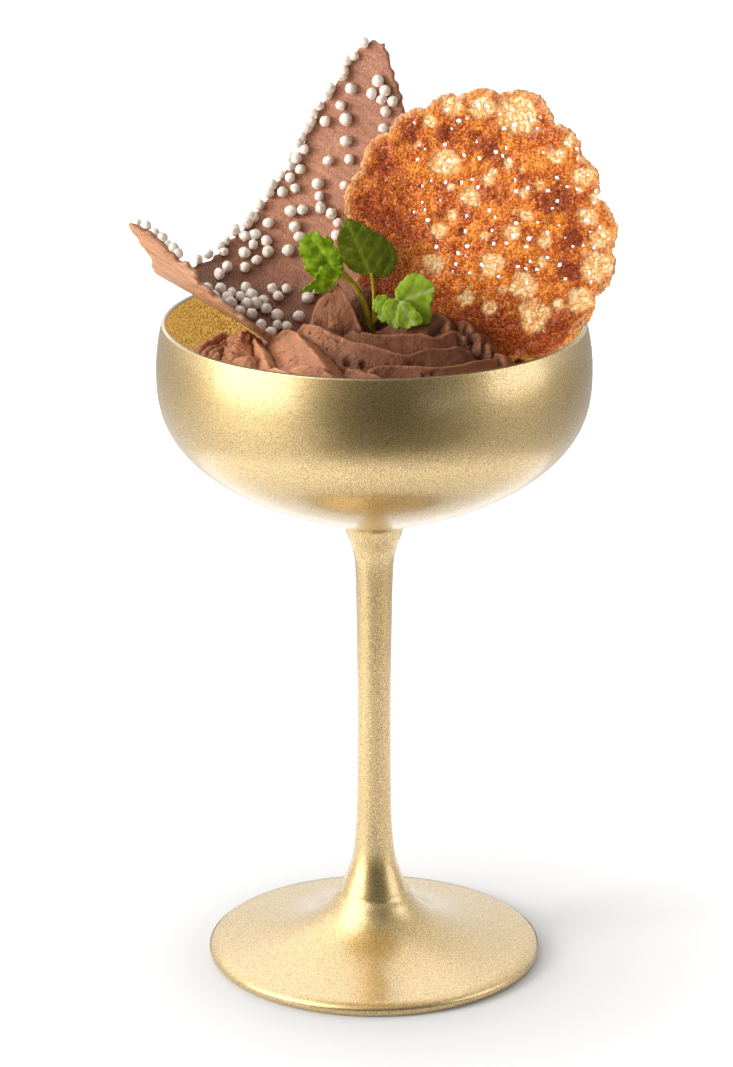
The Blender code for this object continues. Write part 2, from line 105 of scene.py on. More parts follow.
CREST_ROUND = 0.15  # radius of a fold's crest
CREST_WIDTH = 0.55  # of its paler line, a painted highlight
CREST_WOBBLE = (2.8, 0.3)  # length and height
CURL_WIDTH = 1.1  # of the part of a crest that curls over
LUMPS = (2.2, 1.1, 0.16)  # length, width and height of the unevenness along a fold
RIB_SPACING = 1.2
RIB_RISE = 0.25  # share of a rib that faces the crest
RIB_START = (0.5, 1.6)  # distances from the crest over which the ribs begin
RIB_WANDER = (4.0, 2.5, 2.5)  # length, width and amount
RIB_PATCHES = (-1.5, 0.5)  # amounts of wander between which a patch of ribs begins
WARPS = ((7.0, 0.5), (1.9, 0.22))  # size and amount of the wide and the fine bends
FROTH_SIZES = (0.55, 1.4)
FROTH_LEVELS = (0.12, 0.4)
FROTH_DEPTH = 0.8
FROTH_LUMPS = (0.7, 0.9, 0.22)
MOUSSE_GRAIN = (0.8, 0.8, 0.07)
BUBBLY_EDGE = (0.5, 1.1, 0.4)  # from where to where a patch fades, in radii, and its raggedness
# Sides of a fold: width, drop and bulge of its left and of its right side
SAIL = ((4.6, 3.2, 0.9), (9.0, 4.6, 0.95))
SHORT_SAIL = ((2.2, 1.8, 0.9), (3.4, 2.6, 0.95))
ROLL = ((4.0, 1.8, 0.9), (4.6, 3.4, 1.2))
LOW_ROLL = ((3.0, 1.6, 1.0), (3.6, 2.6, 1.3))
RIDGE = ((2.8, 0.5, 1.3), (2.8, 0.6, 1.3))
LOBE = ((4.6, 1.7, 1.1), (4.0, 1.5, 1.2))
THIN_RIB = ((1.7, 1.1, 0.9), (1.4, 0.9, 0.9))
LUMP = ((2.8, 1.5, 1.5), (2.8, 1.8, 1.5))
PEAK = ((2.0, 4.4, 1.0), (8.0, 6.4, 1.0))
CORE = ((4.0, 4.0, 1.3), (3.0, 4.0, 1.3))
# Folds: sides, depth of the ribs, how far the crest curls over and the crest's points
FOLDS = (
    (PEAK, 0.10, 0.3, (
        (-15.4, -4.4, 165.4), (-14.4, -2.2, 168.4), (-12.6, -1.2, 170.4), (-10.8, -0.9, 172.0),
        (-9.0, -0.9, 174.0), (-7.9, -2.4, 172.9), (-6.3, -5.0, 171.0), (-4.8, -7.0, 168.7),
        (-3.4, -9.0, 166.3),
    )),
    (CORE, 0.10, 0.0, (
        (-5.4, 4.0, 170.6), (-2.5, 3.0, 172.1), (0.9, 3.0, 170.2), (3.8, 2.5, 169.4), (8.6, 2.0, 168.0),
        (14.1, 1.0, 166.0),
    )),
    (ROLL, 0.12, 0.4, (
        (0.6, -5.0, 164.0), (4.9, -4.5, 165.3), (9.7, -3.0, 166.4), (14.0, -2.0, 166.6),
        (15.7, -2.5, 166.4), (17.6, -4.0, 166.2), (18.0, -6.0, 165.0),
    )),
    (ROLL, 0.12, 0.4, (
        (-12.3, -7.0, 164.5), (-9.9, -6.6, 165.0), (-6.8, -8.0, 164.8), (-3.9, -9.5, 164.2),
        (1.3, -11.0, 164.1), (6.1, -11.5, 164.0), (10.8, -11.5, 164.0), (13.2, -12.0, 163.7),
        (15.6, -11.0, 163.6), (18.0, -9.0, 164.1), (19.9, -7.5, 164.4), (21.8, -9.0, 164.0),
    )),
    (ROLL, 0.12, 0.5, (
        (-17.0, -6.0, 166.4), (-14.9, -9.0, 166.0), (-12.5, -11.5, 165.5), (-10.1, -14.0, 165.2),
        (-7.7, -16.0, 164.5), (-4.8, -18.0, 164.1), (-2.0, -19.0, 163.9), (0.8, -20.5, 163.3),
        (3.6, -22.0, 162.8), (6.0, -22.5, 162.4), (8.3, -22.0, 162.4), (10.7, -20.5, 162.6),
        (13.1, -19.0, 162.7), (17.8, -17.0, 162.5), (22.6, -14.0, 161.9),
    )),
    (ROLL, 0.12, 0.4, (
        (-1.5, -33.0, 161.4), (0.3, -30.0, 161.3), (3.6, -28.0, 161.1), (8.3, -28.0, 161.1),
        (13.0, -28.5, 161.0), (17.7, -27.0, 160.8), (22.4, -24.0, 160.5), (27.8, -19.0, 160.3),
        (29.6, -16.5, 160.3),
    )),
    (LOW_ROLL, 0.10, 0.2, (
        (-5.7, -31.0, 161.9), (-3.4, -36.0, 162.1), (-1.1, -40.0, 162.3), (1.2, -42.0, 162.4),
        (3.5, -44.0, 162.3),
    )),
    (SAIL, 0.08, 0.5, (
        (-22.3, -6.0, 164.4), (-20.9, -7.5, 164.8), (-19.2, -10.0, 164.5), (-17.2, -15.0, 164.2),
        (-15.7, -20.0, 164.0), (-14.1, -25.0, 163.8), (-12.4, -31.0, 163.2), (-10.6, -37.0, 162.7),
        (-7.8, -43.0, 162.4),
    )),
    (SHORT_SAIL, 0.10, 0.3, (
        (-29.1, -8.0, 163.4), (-27.8, -13.0, 162.7), (-26.4, -20.0, 162.4), (-25.5, -24.5, 162.2),
        (-24.6, -30.0, 161.9),
    )),
    (RIDGE, 0.12, 0.1, (
        (-31.6, -30.0, 161.6), (-30.4, -26.0, 162.2), (-29.1, -22.0, 162.3), (-27.8, -20.5, 162.1),
    )),
    (LOW_ROLL, 0.12, 0.3, (
        (-21.0, -34.0, 161.8), (-19.8, -33.0, 162.1), (-16.5, -34.0, 162.8), (-13.5, -37.0, 163.2),
        (-10.6, -41.0, 163.0), (-8.0, -45.0, 162.6),
    )),
    (SHORT_SAIL, 0.10, 0.3, (
        (-24.6, -31.0, 162.0), (-22.3, -35.0, 162.1), (-20.3, -38.0, 162.1), (-18.7, -41.0, 162.2),
    )),
    (LOBE, 0.14, 0.2, (
        (-30.6, -3.0, 163.9), (-31.4, -8.0, 163.5), (-32.2, -14.0, 162.8), (-32.9, -20.0, 162.3),
        (-33.4, -26.0, 161.8),
    )),
    (THIN_RIB, 0.12, 0.4, (
        (-41.9, -19.0, 161.9), (-39.9, -10.0, 162.0), (-37.1, -3.0, 161.9), (-34.3, 3.0, 161.2),
    )),
    (THIN_RIB, 0.12, 0.3, (
        (-40.5, -21.0, 161.8), (-38.8, -14.0, 161.7), (-36.9, -9.0, 161.6), (-35.3, -3.0, 161.4),
    )),
    (THIN_RIB, 0.12, 0.3, (
        (-39.4, -23.0, 161.9), (-37.6, -17.0, 161.8), (-36.2, -12.0, 161.7), (-34.4, -5.0, 161.7),
    )),
    (THIN_RIB, 0.12, 0.3, ((-37.8, -26.0, 162.1), (-36.6, -19.0, 161.9), (-35.4, -14.5, 162.0))),
    (LUMP, 0.10, 0.2, (
        (18.6, -2.0, 164.6), (21.0, -2.5, 165.0), (23.3, -4.0, 164.5), (23.8, -7.0, 163.6),
    )),
    (LUMP, 0.10, 0.2, ((22.8, -5.5, 163.8), (24.7, -8.0, 163.3), (25.8, -12.0, 162.2))),
    (LUMP, 0.10, 0.2, ((25.0, -8.6, 162.4), (27.0, -11.0, 161.8), (28.3, -15.0, 160.8))),
    (LUMP, 0.10, 0.2, ((28.6, -13.0, 160.9), (30.4, -17.0, 160.3), (30.6, -20.0, 159.4))),
    (SAIL, 0.20, 0.3, (
        (32.0, 10.0, 158.0), (24.0, 14.0, 161.6), (15.0, 14.0, 163.8), (4.0, 9.0, 166.0),
    )),
    (SAIL, 0.20, 0.3, (
        (19.0, 31.0, 158.2), (12.0, 26.0, 161.6), (5.0, 20.0, 164.0), (-2.0, 10.0, 166.6),
    )),
    (SAIL, 0.20, 0.3, (
        (-3.0, 35.0, 158.0), (-8.0, 28.0, 160.6), (-8.0, 20.0, 162.4), (-5.0, 12.0, 164.0),
    )),
)
BUBBLY = (  # patches of small wet bubbles: across, back and radius
    (-12.6, -4.0, 4.0), (-12.0, -5.6, 3.4), (-10.4, -16.0, 3.6), (-13.6, -12.6, 2.4),
    (-23.0, -21.0, 4.2), (-21.4, -26.0, 4.4), (-15.5, -37.5, 5.0), (-29.4, -10.0, 3.2),
    (-33.2, -13.0, 3.4), (-35.0, -21.0, 3.0), (-29.6, -25.0, 2.6), (-4.6, -24.0, 3.6),
    (-2.4, -29.0, 3.0), (-5.0, -36.5, 2.8), (11.8, -31.0, 2.6), (22.6, -8.6, 3.6), (26.8, -13.0, 2.6),
    (-1.0, 3.0, 4.5), (8.0, 18.0, 7.0), (-18.0, 20.0, 6.0),
)
HOLES = (  # burst bubbles and the stalks' hollow: across, back, radius and depth
    (0.9, -3.2, 2.0, 4.0), (-6.5, -22.0, 0.8, 2.6), (-2.7, -23.6, 0.7, 2.2), (-4.4, -26.4, 0.5, 1.4),
    (11.6, -30.6, 0.5, 1.6), (13.4, -30.2, 0.55, 1.6), (8.6, -25.2, 1.4, 1.6), (11.6, -24.8, 1.2, 1.2),
    (-32.9, -20.0, 0.5, 1.4), (-28.2, -24.0, 0.4, 1.2), (-27.2, -10.0, 1.4, 2.0),
    (19.7, -5.5, 0.9, 1.6), (23.0, -9.4, 0.7, 1.4), (25.0, -13.4, 0.7, 1.4), (6.0, 15.0, 0.8, 1.6),
    (-14.0, 18.0, 0.7, 1.4),
)

# Chocolate sheet, in millimetres
SHEET_ORIGIN = Vector((-32.0, 2.6, 163.1))
SHEET_YAW = 25.0
SHEET_DIP = 27.0
SHEET_THICKNESS = 1.1
NEAR_CURL = 20.0  # radius of the curl on the near side
FAR_CURL = 30.0  # radius of the lower far side
FAR_CURL_LENGTH = 30.0
TOP_CURL = 90.0
TUCK = (-10.0, 14.0, 2.35, 0.063)  # where the near side is pressed in, how wide, deep and sloping
SHEET_STEP = 1.5
SHEET_WAVES = ((4.0, 7.0, 0.16), (1.6, 3.0, 0.1))  # round, along and height
SHEET_STREAK = (1.1, 7.0)  # width and length of the streaks
SHEET_EDGE = (0.7, 0.45)  # spacing and depth of the breaks along it
SHEET_EDGE_BREAKS = (0.45, 0.14)  # small and large breaks to a point of the edge
SHEET_LOW_SHADE = (6.0, 30.0, 0.9)  # middle, width and depth of the painted shade on the low part
SHEET_TOP_SHADE = (50.0, 20.0, 0.3)  # start, width and depth of the painted shade on the top
# Outline, unrolled: distance round the curl, then distance along it
SHEET_OUTLINE = (
    (82.5, -14.0), (79.0, -16.4), (70.0, -16.9), (60.0, -17.5), (45.0, -16.4), (30.0, -17.2),
    (14.0, -18.0), (5.0, -20.5), (-5.0, -22.5), (-13.5, -21.6), (-20.0, -22.2), (-24.0, -26.5),
    (-26.3, -29.3), (-27.8, -24.6), (-26.4, -19.9), (-25.2, -14.0), (-26.6, -12.4), (-25.6, -9.6),
    (-22.8, -7.4), (-21.8, -4.0), (-20.6, 1.0), (-19.4, 5.6), (-17.6, 8.6), (-13.0, 11.6), (-8.0, 16.0),
    (-2.0, 21.5), (8.0, 27.5), (18.0, 29.0), (28.0, 27.5), (37.2, 21.5), (48.3, 16.1), (59.1, 10.6),
    (68.5, 4.9), (74.2, -0.4), (78.5, -5.8), (83.2, -10.8),
)

# Sugar pearls, in millimetres
PEARL_RADII = (1.28, 1.62)
PEARL_STRETCH = (0.88, 1.06)
PEARL_LUMPS = 0.2  # share of the radius
PEARL_SEAT = 0.75  # height of a pearl's middle over the sheet, in radii
EDGE_SLACK = (-0.9, 0.7)  # how far a pearl lies within the left edge
WING_SLACK = (0.2, 0.8)
EDGE_PEARLS = (  # on the left edge: how far round the curl
    81.4, 77.0, 75.0, 72.4, 71.0, 66.6, 65.0, 61.4, 59.2, 57.0, 55.2, 52.4, 50.8, 46.6, 45.0, 41.8,
    38.4, 36.4, 32.6, 29.0, 27.0, 23.4, 19.6, 17.4, 13.2, 9.6,
)
WING_PEARLS = (-28.4, -26.2, -23.6, -21.4, -19.6, -17.8, -16.2)  # on the near side's edge
PEARLS = (  # the others: round the curl and along it
    (50.3, -15.2), (47.2, -15.8), (45.6, -13.4), (42.4, -14.4), (40.9, -11.8), (38.4, -14.0),
    (29.2, -16.2), (30.0, -12.4), (25.6, -13.4), (23.6, -15.2), (23.0, -12.2), (25.8, -10.1),
    (19.6, -12.4), (16.6, -16.6), (23.6, -8.1), (26.8, -4.2), (75.0, -7.6), (73.9, -4.9), (71.4, -7.5),
    (71.4, -4.6), (72.6, -1.9), (69.4, -2.2), (69.5, -12.7), (64.5, -12.9), (59.0, -14.3),
    (62.3, -10.0), (65.5, -0.6), (57.7, -7.3), (51.2, -8.5), (54.3, -4.1), (45.0, -7.6), (42.6, -5.6),
    (40.3, -3.6), (48.3, -1.6), (40.6, -0.6), (35.6, -9.4), (37.4, -7.2), (32.9, -6.4), (31.4, -4.0),
    (39.6, 2.1), (36.8, 3.6), (9.6, -13.2), (13.2, -13.2), (16.2, -9.9), (19.9, -8.9), (5.0, -10.0),
    (6.4, -7.4), (10.8, -6.0), (9.7, -3.6), (6.9, -5.0), (3.4, -7.0), (1.6, -5.1), (5.9, -2.5),
    (7.9, -1.1), (10.6, -0.5), (8.5, 1.6), (1.1, -1.9), (3.2, 0.5), (15.5, -1.1), (17.8, 1.6),
    (14.4, 1.4), (8.8, 4.8), (12.7, 8.8), (19.0, 7.2), (22.2, 7.4), (0.4, 4.6), (5.7, 6.8), (7.2, 8.7),
    (-0.6, 8.0), (1.4, -12.0), (-1.4, -8.6),
)

# Caramel tuile, in millimetres
TUILE_CENTRE = Vector((25.0, 4.5, 186.2))
TUILE_LEAN = 11.0
TUILE_YAW = -8.0
TUILE_THICKNESS = 1.3
TUILE_LOBES = (  # degrees from its right side, anticlockwise, and reach from the centre
    (0.0, 33.2), (27.0, 31.4), (47.0, 31.8), (70.0, 34.4), (90.0, 33.0), (107.0, 32.4), (126.0, 32.6),
    (146.0, 33.0), (168.0, 33.4), (190.0, 33.6), (212.0, 33.2), (235.0, 33.0), (257.0, 33.8),
    (280.0, 34.0), (303.0, 36.2), (319.0, 34.8), (341.0, 34.3),
)
LOBE_CURVE = 0.016
TUILE_WAVE = 0.8
TUILE_WAVE_ACROSS = 8.0
TUILE_WAVE_UP = 10.0
TUILE_SIZE = 36.0  # half the sheet that it is cut from
TUILE_STEP = 0.33
TUILE_RELIEF = ((1.9, 1.9, 0.3), (0.8, 0.8, 0.2))
RIM_CRINKLES = ((2.2, 1.0, 0.32), (0.9, 1.0, 0.192))  # degrees, and the last is the height
RIM_SHARE = 0.93  # of the reach, where the paler rim begins
BLISTER_DEPTH = (0.35, 0.6)
SPOT_EDGES = ((0.4, 2.6, 0.8), (1.3, 1.5, 0.6), (2.1, 0.8, 0.4))  # turn, size and share
LEFT_SHADE = (11.0, 19.0, 0.5)  # painted shade at the left, where the sheet lies behind: from where to where, and how dark
# painted shade at the bottom, near the mousse
LOW_SHADE = (11.0, 25.0, 0.85)
BLISTER_BURN = 0.35  # round the blisters
# cap on the painted shade and the blister rings
DARKEST_SHADE_AND_BURN = 0.95
PINHOLES = 125
PINHOLE_RADII = (0.34, 0.56)
PINHOLE_SPACING = 1.9
PINHOLE_REACH = 30.0
PINHOLE_FIELD = ((-24.0, 31.0), (-26.0, 30.0))  # across and up
PINHOLE_CROWD = (6.0, 4.0, 32.0, 1.15)  # middle of the dense part, its size and how dense it is
SMALL_BLISTERS = 14
SMALL_BLISTER_RADII = (0.7, 1.7)
SMALL_BLISTER_REACH = 31.0
SMALL_BLISTER_LEFT = (-24.0, -8.0)  # where they thin out to the left
WINDOW_EDGE = (0.26, 0.26)  # how ragged and how soft a blister's edge is
BURN_EDGE = (0.8, 0.6)
TUILE_WINDOWS = (  # thin blisters: across and up from the centre, and radius
    (9.1, 27.3, 4.9), (-0.3, 28.6, 2.9), (-7.5, 28.8, 2.6), (-8.5, 15.5, 3.3), (18.0, 17.7, 2.1),
    (20.6, 21.0, 1.4), (24.4, 12.9, 2.5), (-2.1, 7.2, 2.3), (26.3, 3.0, 2.6), (28.9, -1.5, 2.6),
    (28.6, -8.5, 3.5), (3.3, -8.5, 2.7), (-9.5, -1.2, 1.9), (8.1, -1.2, 1.9), (11.3, 3.3, 1.7),
    (15.8, -2.7, 1.7), (11.6, -13.3, 2.9), (-10.7, -9.1, 2.6), (-2.7, -16.8, 2.0), (3.0, -19.4, 1.8),
    (13.9, -20.6, 3.5), (24.4, -16.8, 2.9), (19.9, -17.5, 1.5), (6.5, 15.2, 1.4), (3.0, 13.2, 1.2),
    (14.2, 10.4, 1.4), (10.7, 8.1, 1.3), (-7.2, 9.3, 1.1), (15.5, -7.9, 1.4), (6.2, -14.9, 1.3),
    (1.4, -2.1, 1.2), (-12.7, 24.7, 1.7), (27.6, 8.0, 1.5),
)
TUILE_BURNS = (  # darker patches: across, up and radius
    (1.1, 19.0, 3.3), (-8.2, 22.5, 2.0), (5.2, 31.0, 1.3), (16.8, 5.2, 2.6), (19.3, 7.2, 2.4),
    (22.5, -2.1, 2.8), (21.9, -9.8, 2.8), (-9.5, 2.7, 1.8), (-4.0, -1.2, 1.6), (3.0, 9.1, 1.6),
    (18.7, -23.2, 2.6), (7.0, -22.0, 2.6), (0.0, -25.0, 5.0), (-24.4, 13.6, 4.5), (-21.0, 2.0, 4.0),
    (-27.5, 5.0, 4.0), (-16.0, 22.0, 2.5),
)

# Herb sprig, in millimetres
STALKS = (  # start, bend and end, then the radius
    ((-0.8, -1.6, 160.0), (-1.4, -2.0, 171.6), (-8.0, -0.8, 176.6), 0.72),
    ((-3.6, -1.9, 171.6), (-5.0, -2.2, 174.4), (-8.8, -2.4, 175.8), 0.42),
    ((-0.4, -1.8, 160.6), (0.5, -1.9, 169.0), (-0.7, -1.6, 176.4), 0.5),
    ((-0.2, -1.8, 163.6), (1.6, -4.6, 168.6), (5.8, -6.4, 170.6), 0.5),
)
STALK_RINGS = 19
STALK_SEGMENTS = 12
STALK_TAPER = (1.1, 0.25)  # radius at the foot, and what it loses, in shares
LEAF_STEP = 0.55
LEAF_THICKNESS = 0.3
LEAF_CUP = 0.012  # how far a blade's sides bend back
TOOTH_POINTS = 7  # of the outline, to a tooth
TOOTH_STEP = 0.25  # between them
VEIN_SLANT = 0.75
VEIN_WIDTHS = (0.3, 0.28)  # of the middle one and of its branches
VEIN_HEIGHT = 0.22
LEAF_FOLDS = ((2.2, 2.0), (0.9, 1.0))  # size and share
# Leaves: the depth of the face, how it slants across and up, the rib's foot and tip, the
# spacing of its veins, the size of its teeth, its crinkle and its outline, across and up
LEAVES = {
    "top_leaf": (
        (-1.2, 0.02, 0.1), (-0.9, 175.6), (-6.8, 189.4), 3.2, 0.3, 0.15, (
            (-0.8, 175.6), (-3.4, 176.0), (-5.8, 177.1), (-7.5, 179.2), (-8.5, 181.4), (-8.9, 184.6),
            (-8.0, 187.0), (-6.8, 189.4), (-4.9, 189.0), (-2.5, 187.9), (-0.1, 186.3), (2.0, 185.1),
            (3.8, 183.4), (5.0, 181.8), (5.5, 179.2), (4.4, 176.5), (2.1, 175.1), (0.4, 175.4),
        ),
    ),
    "left_back_leaf": (
        (-0.4, 0.05, 0.08), (-8.2, 175.9), (-15.6, 185.6), 2.2, 0.55, 0.45, (
            (-8.2, 175.6), (-7.4, 177.6), (-8.2, 181.0), (-9.4, 182.3), (-10.2, 184.0), (-11.2, 185.2),
            (-12.1, 184.4), (-13.1, 185.7), (-14.2, 186.1), (-15.6, 185.7), (-17.0, 184.8),
            (-17.8, 183.5), (-17.8, 181.0), (-16.8, 178.7), (-16.3, 176.7), (-14.9, 175.4),
            (-13.0, 174.6), (-10.1, 174.9),
        ),
    ),
    "left_front_leaf": (
        (-2.8, 0.08, -0.3), (-8.8, 175.6), (-17.2, 172.4), 2.0, 0.55, 0.5, (
            (-8.8, 175.4), (-7.5, 177.2), (-7.7, 178.6), (-9.4, 178.8), (-10.9, 178.8), (-13.0, 178.2),
            (-13.7, 176.3), (-14.5, 175.0), (-16.0, 173.6), (-17.3, 172.4), (-15.4, 171.9),
            (-14.2, 172.3), (-13.2, 171.3), (-11.9, 172.0), (-10.6, 172.1), (-9.7, 173.6),
        ),
    ),
    "right_leaf": (
        (-5.8, 0.05, 0.05), (5.8, 170.4), (13.9, 173.4), 3.0, 0.35, 0.2, (
            (5.7, 170.3), (4.9, 171.6), (5.1, 173.4), (6.1, 174.9), (7.5, 176.4), (9.0, 177.2),
            (11.1, 176.9), (12.7, 175.7), (14.2, 174.3), (14.2, 172.6), (13.8, 170.6), (13.5, 168.9),
            (13.7, 166.9), (13.3, 165.1), (11.8, 164.4), (10.4, 165.0), (8.5, 167.2), (6.8, 169.4),
        ),
    ),
    "right_low_leaf": (
        (-7.0, -0.03, 0.02), (6.0, 170.7), (9.4, 164.8), 2.6, 0.3, 0.2, (
            (6.0, 170.9), (7.5, 171.0), (9.4, 169.3), (11.3, 167.3), (11.7, 165.8), (10.6, 165.0),
            (9.4, 164.8), (8.0, 164.1), (6.1, 164.6), (5.4, 166.3), (5.4, 168.6),
        ),
    ),
    "middle_leaf": (
        (-6.6, 0.02, 0.02), (5.6, 171.0), (4.6, 164.4), 2.4, 0.3, 0.25, (
            (6.1, 171.6), (4.7, 171.4), (3.3, 171.1), (2.0, 169.8), (2.2, 168.0), (2.9, 166.7),
            (3.4, 165.2), (4.7, 164.2), (5.6, 164.0), (6.3, 166.2), (6.3, 169.1),
        ),
    ),
    "small_leaf": (
        (-6.1, 0.02, 0.02), (3.6, 170.9), (1.2, 166.2), 2.2, 0.3, 0.25, (
            (3.9, 171.2), (2.8, 172.0), (1.3, 172.1), (0.1, 171.2), (-0.5, 170.0), (-0.3, 168.5),
            (0.6, 168.0), (0.9, 166.8), (1.5, 165.7), (2.6, 165.5), (3.4, 166.8), (3.6, 168.5),
            (3.8, 170.0),
        ),
    ),
}

# Colours; a ramp's stops are the place on it and the colour there
GOLD = ((0.40, (0.34, 0.235, 0.08)), (0.60, (0.91, 0.655, 0.30)))
GOLD_ROUGHNESS = ((0.35, 0.42), (0.7, 0.28))
INNER_GOLD = ((0.4, (0.50, 0.24, 0.015)), (0.6, (1.0, 0.78, 0.24)))
INNER_GOLD_ROUGHNESS = ((0.35, 0.5), (0.7, 0.3))
LIP_SHADE_FADE = (-0.034, -0.012)  # metres to the back, from painted shade in front to clear
LIP_SHADE_TINTS = ((0.07, 0.045, 0.015), (0.62, 0.57, 0.48))  # in front, a painted shade, and behind
MOUSSE_TINTS = ((0.3, (0.40, 0.145, 0.058)), (0.7, (0.55, 0.23, 0.11)))
MOUSSE_SHADE_FADE = (-0.022, -0.001, 0.82)  # metres across, from left to right, and how far the painted shade darkens it
# colour of the painted shade over the right-hand part
MOUSSE_RIGHT_SHADE = (0.072, 0.017, 0.003)
CREST_HIGHLIGHT_TINTS = ((0.70, 0.34, 0.18), (0.40, 0.15, 0.062))  # painted highlight along the crests, at the left and at the right
CREASE_SHADE_TINTS = ((0.42, 0.30, 0.22), (0.12, 0.06, 0.03))  # painted shade in the creases, at the left and at the right
SHEET_INSIDE = ((0.35, (0.37, 0.145, 0.068)), (0.65, (0.52, 0.225, 0.125)))
SHEET_OUTSIDE = ((0.35, (0.35, 0.15, 0.065)), (0.65, (0.51, 0.27, 0.15)))
# colour of the painted shade on the sheet
SHEET_SHADE_TINT = (0.09, 0.020, 0.006)
SHEET_PALE_SPECK = (0.7, 0.4, 0.27)
SHEET_DARK_SPECK = (0.13, 0.04, 0.02)
PEARL_TINTS = ((0.3, (0.62, 0.53, 0.43)), (0.7, (0.95, 0.88, 0.78)))
AMBER = ((0.36, (0.34, 0.040, 0.001)), (0.48, (0.60, 0.120, 0.004)), (0.62, (0.86, 0.26, 0.018)))
AMBER_DARK_GRAIN = (0.28, 0.03, 0.001)
AMBER_LIGHT_GRAIN = (1.0, 0.50, 0.13)
# for the scorched patches and for the painted shade
BURNT_AND_SHADED_AMBER = ((0.36, (0.11, 0.009, 0.0004)), (0.5, (0.27, 0.034, 0.002)), (0.66, (0.50, 0.105, 0.010)))
CLEAR_AMBER = (
    (0.38, (1.0, 0.80, 0.46)),
    (0.46, (0.94, 0.52, 0.18)),
    (0.5, (0.66, 0.21, 0.025)),
    (0.54, (0.94, 0.52, 0.18)),
    (0.62, (1.0, 0.84, 0.52)),
)
GREENS = {  # dark, pale and vein
    # deep is the top leaf's darker copy of the green: painted shade
    "deep": ((0.045, 0.060, 0.0003), (0.095, 0.108, 0.001), (0.20, 0.22, 0.012)),
    "bright": ((0.10, 0.18, 0.002), (0.22, 0.33, 0.006), (0.33, 0.42, 0.025)),
    "pale": ((0.21, 0.34, 0.010), (0.29, 0.44, 0.025), (0.50, 0.60, 0.22)),
    "stalk": ((0.27, 0.21, 0.008), (0.43, 0.32, 0.03), (0.50, 0.60, 0.22)),
}

# Studio, in metres
FLOOR_COLOUR = (0.62, 0.62, 0.615)
FLOOR_SIZE = 40.0
FLOOR_GLOW = (0.02, 0.2, 0.74)  # from where to where it rises, and how far
WORLD_WAY = (-0.35, 0.8, 0.48)  # towards the brightest part of the room
WORLD_LEVELS = ((0.3, 0.14), (0.85, 1.0))
SOFTBOXES = (  # name, place, aim, size, watts, and what it lights: matt surfaces, shine or both
    ("side_box", (-0.73, -0.36, 0.53), (0.0, 0.0, 0.15), (0.9, 1.5), 9.5, "shine"),
    ("fill_box", (-0.7, -0.45, 0.5), (0.0, 0.0, 0.15), (1.0, 1.0), 5.2, "matt"),
    ("key_box", (-0.92, -0.36, 0.46), (0.0, 0.0, 0.16), (0.35, 0.3), 7.5, "matt"),
    ("glint_box", (-0.92, -0.36, 0.46), (0.0, 0.0, 0.16), (0.35, 0.3), 6.0, "shine"),
    ("right_box", (0.95, -0.18, 0.42), (0.0, 0.0, 0.12), (0.7, 0.8), 3.3, "shine"),
    ("back_box", (-0.35, 0.6, 1.1), (0.0, 0.0, 0.1), (1.6, 1.4), 5.0, "both"),
)
FLAGS = (  # name, place, width, depth and tilt of dark cards that only reflections show
    ("near_flag", (0.12, -0.41, 0.004), 0.6, 0.3, 0.0),
    ("far_flag", (-0.02, -1.0, 0.004), 0.95, 0.9, 0.0),
    ("high_flag", (-0.05, -1.3, 0.2), 1.3, 0.5, 90.0),
)
FLAG_COLOUR = (0.01, 0.008, 0.004)
FOOT_RING = (0.0415, 0.05)  # radii of the shade close round the foot, for reflections
TABLE_RING = (0.2, 2.5)  # radii of the darker table round the lit floor, for reflections
TABLE_FADE = 0.6  # radius at which it is at its darkest
TABLE_COLOUR = (0.34, 0.32, 0.28)
CARD_HEIGHT = 0.002
RING_SEGMENTS = 64
CAMERA_PLACE = (-0.001889, -0.952754, 0.423982)
CAMERA_DIP = 18.2204  # degrees below level
CAMERA_LENS = 138.58  # millimetres, as is the sensor's width
CAMERA_SENSOR = 36.0


def add_object(name, data):
    made = bpy.data.objects.new(name, data)
    bpy.context.scene.collection.objects.link(made)
    return made


def add_mesh(name, bm, materials):
    mesh = bpy.data.meshes.new(name)
    bm.to_mesh(mesh)
    bm.free()
    for material in materials:
        mesh.materials.append(material)
    return add_object(name, mesh)


def build(name, bm, materials, replaced=None):
    """A piece from a bmesh in millimetres, shaded smooth and riding on the part."""
    bmesh.ops.scale(bm, vec=(MM, MM, MM), verts=bm.verts)
    piece = add_mesh(name, bm, materials)
    piece.data.shade_smooth()
    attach(piece, "root")
    if replaced:
        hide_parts(replaced)
    return piece


def thicken(piece, thickness):
    """Gives a flat piece its thickness, half to each side."""
    solid = piece.modifiers.new("thickness", "SOLIDIFY")
    solid.thickness = thickness * MM
    solid.offset = 0.0
    return solid


def colour_of(value):
    """A colour with its alpha, from three numbers or a grey level; an output stays as it is."""
    if isinstance(value, float):
        value = (value,) * 3
    return (*value, 1.0) if isinstance(value, tuple) else value


class Nodes:
    """A node tree, with short calls to add nodes and join them."""

    def __init__(self, tree):
        self.tree = tree

    def fill(self, socket, value):
        """Sets a socket, or joins it to another node's output."""
        if isinstance(value, bpy.types.NodeSocket):
            self.tree.links.new(value, socket)
        else:
            socket.default_value = value

    def node(self, kind, settings=None, **inputs):
        made = self.tree.nodes.new(f"ShaderNode{kind}")
        for name, value in (settings or {}).items():
            setattr(made, name, value)
        for name, value in inputs.items():
            self.fill(made.inputs[name.replace("_", " ")], value)
        return made

    def span(self, value, low, high, top=1.0):
        """Nothing where the value is low, rising to top where it is high."""
        made = self.node("MapRange", Value=value, From_Min=low, From_Max=high, To_Max=top)
        return made.outputs[0]

    def ramp(self, value, *stops):
        """A colour ramp through (place, colour) stops."""
        made = self.node("ValToRGB", Fac=value)
        elements = made.color_ramp.elements
        while len(elements) < len(stops):
            elements.new(1.0)
        for element, (position, colour) in zip(elements, stops):
            element.position = position
            element.color = colour_of(colour)
        return made.outputs["Color"]


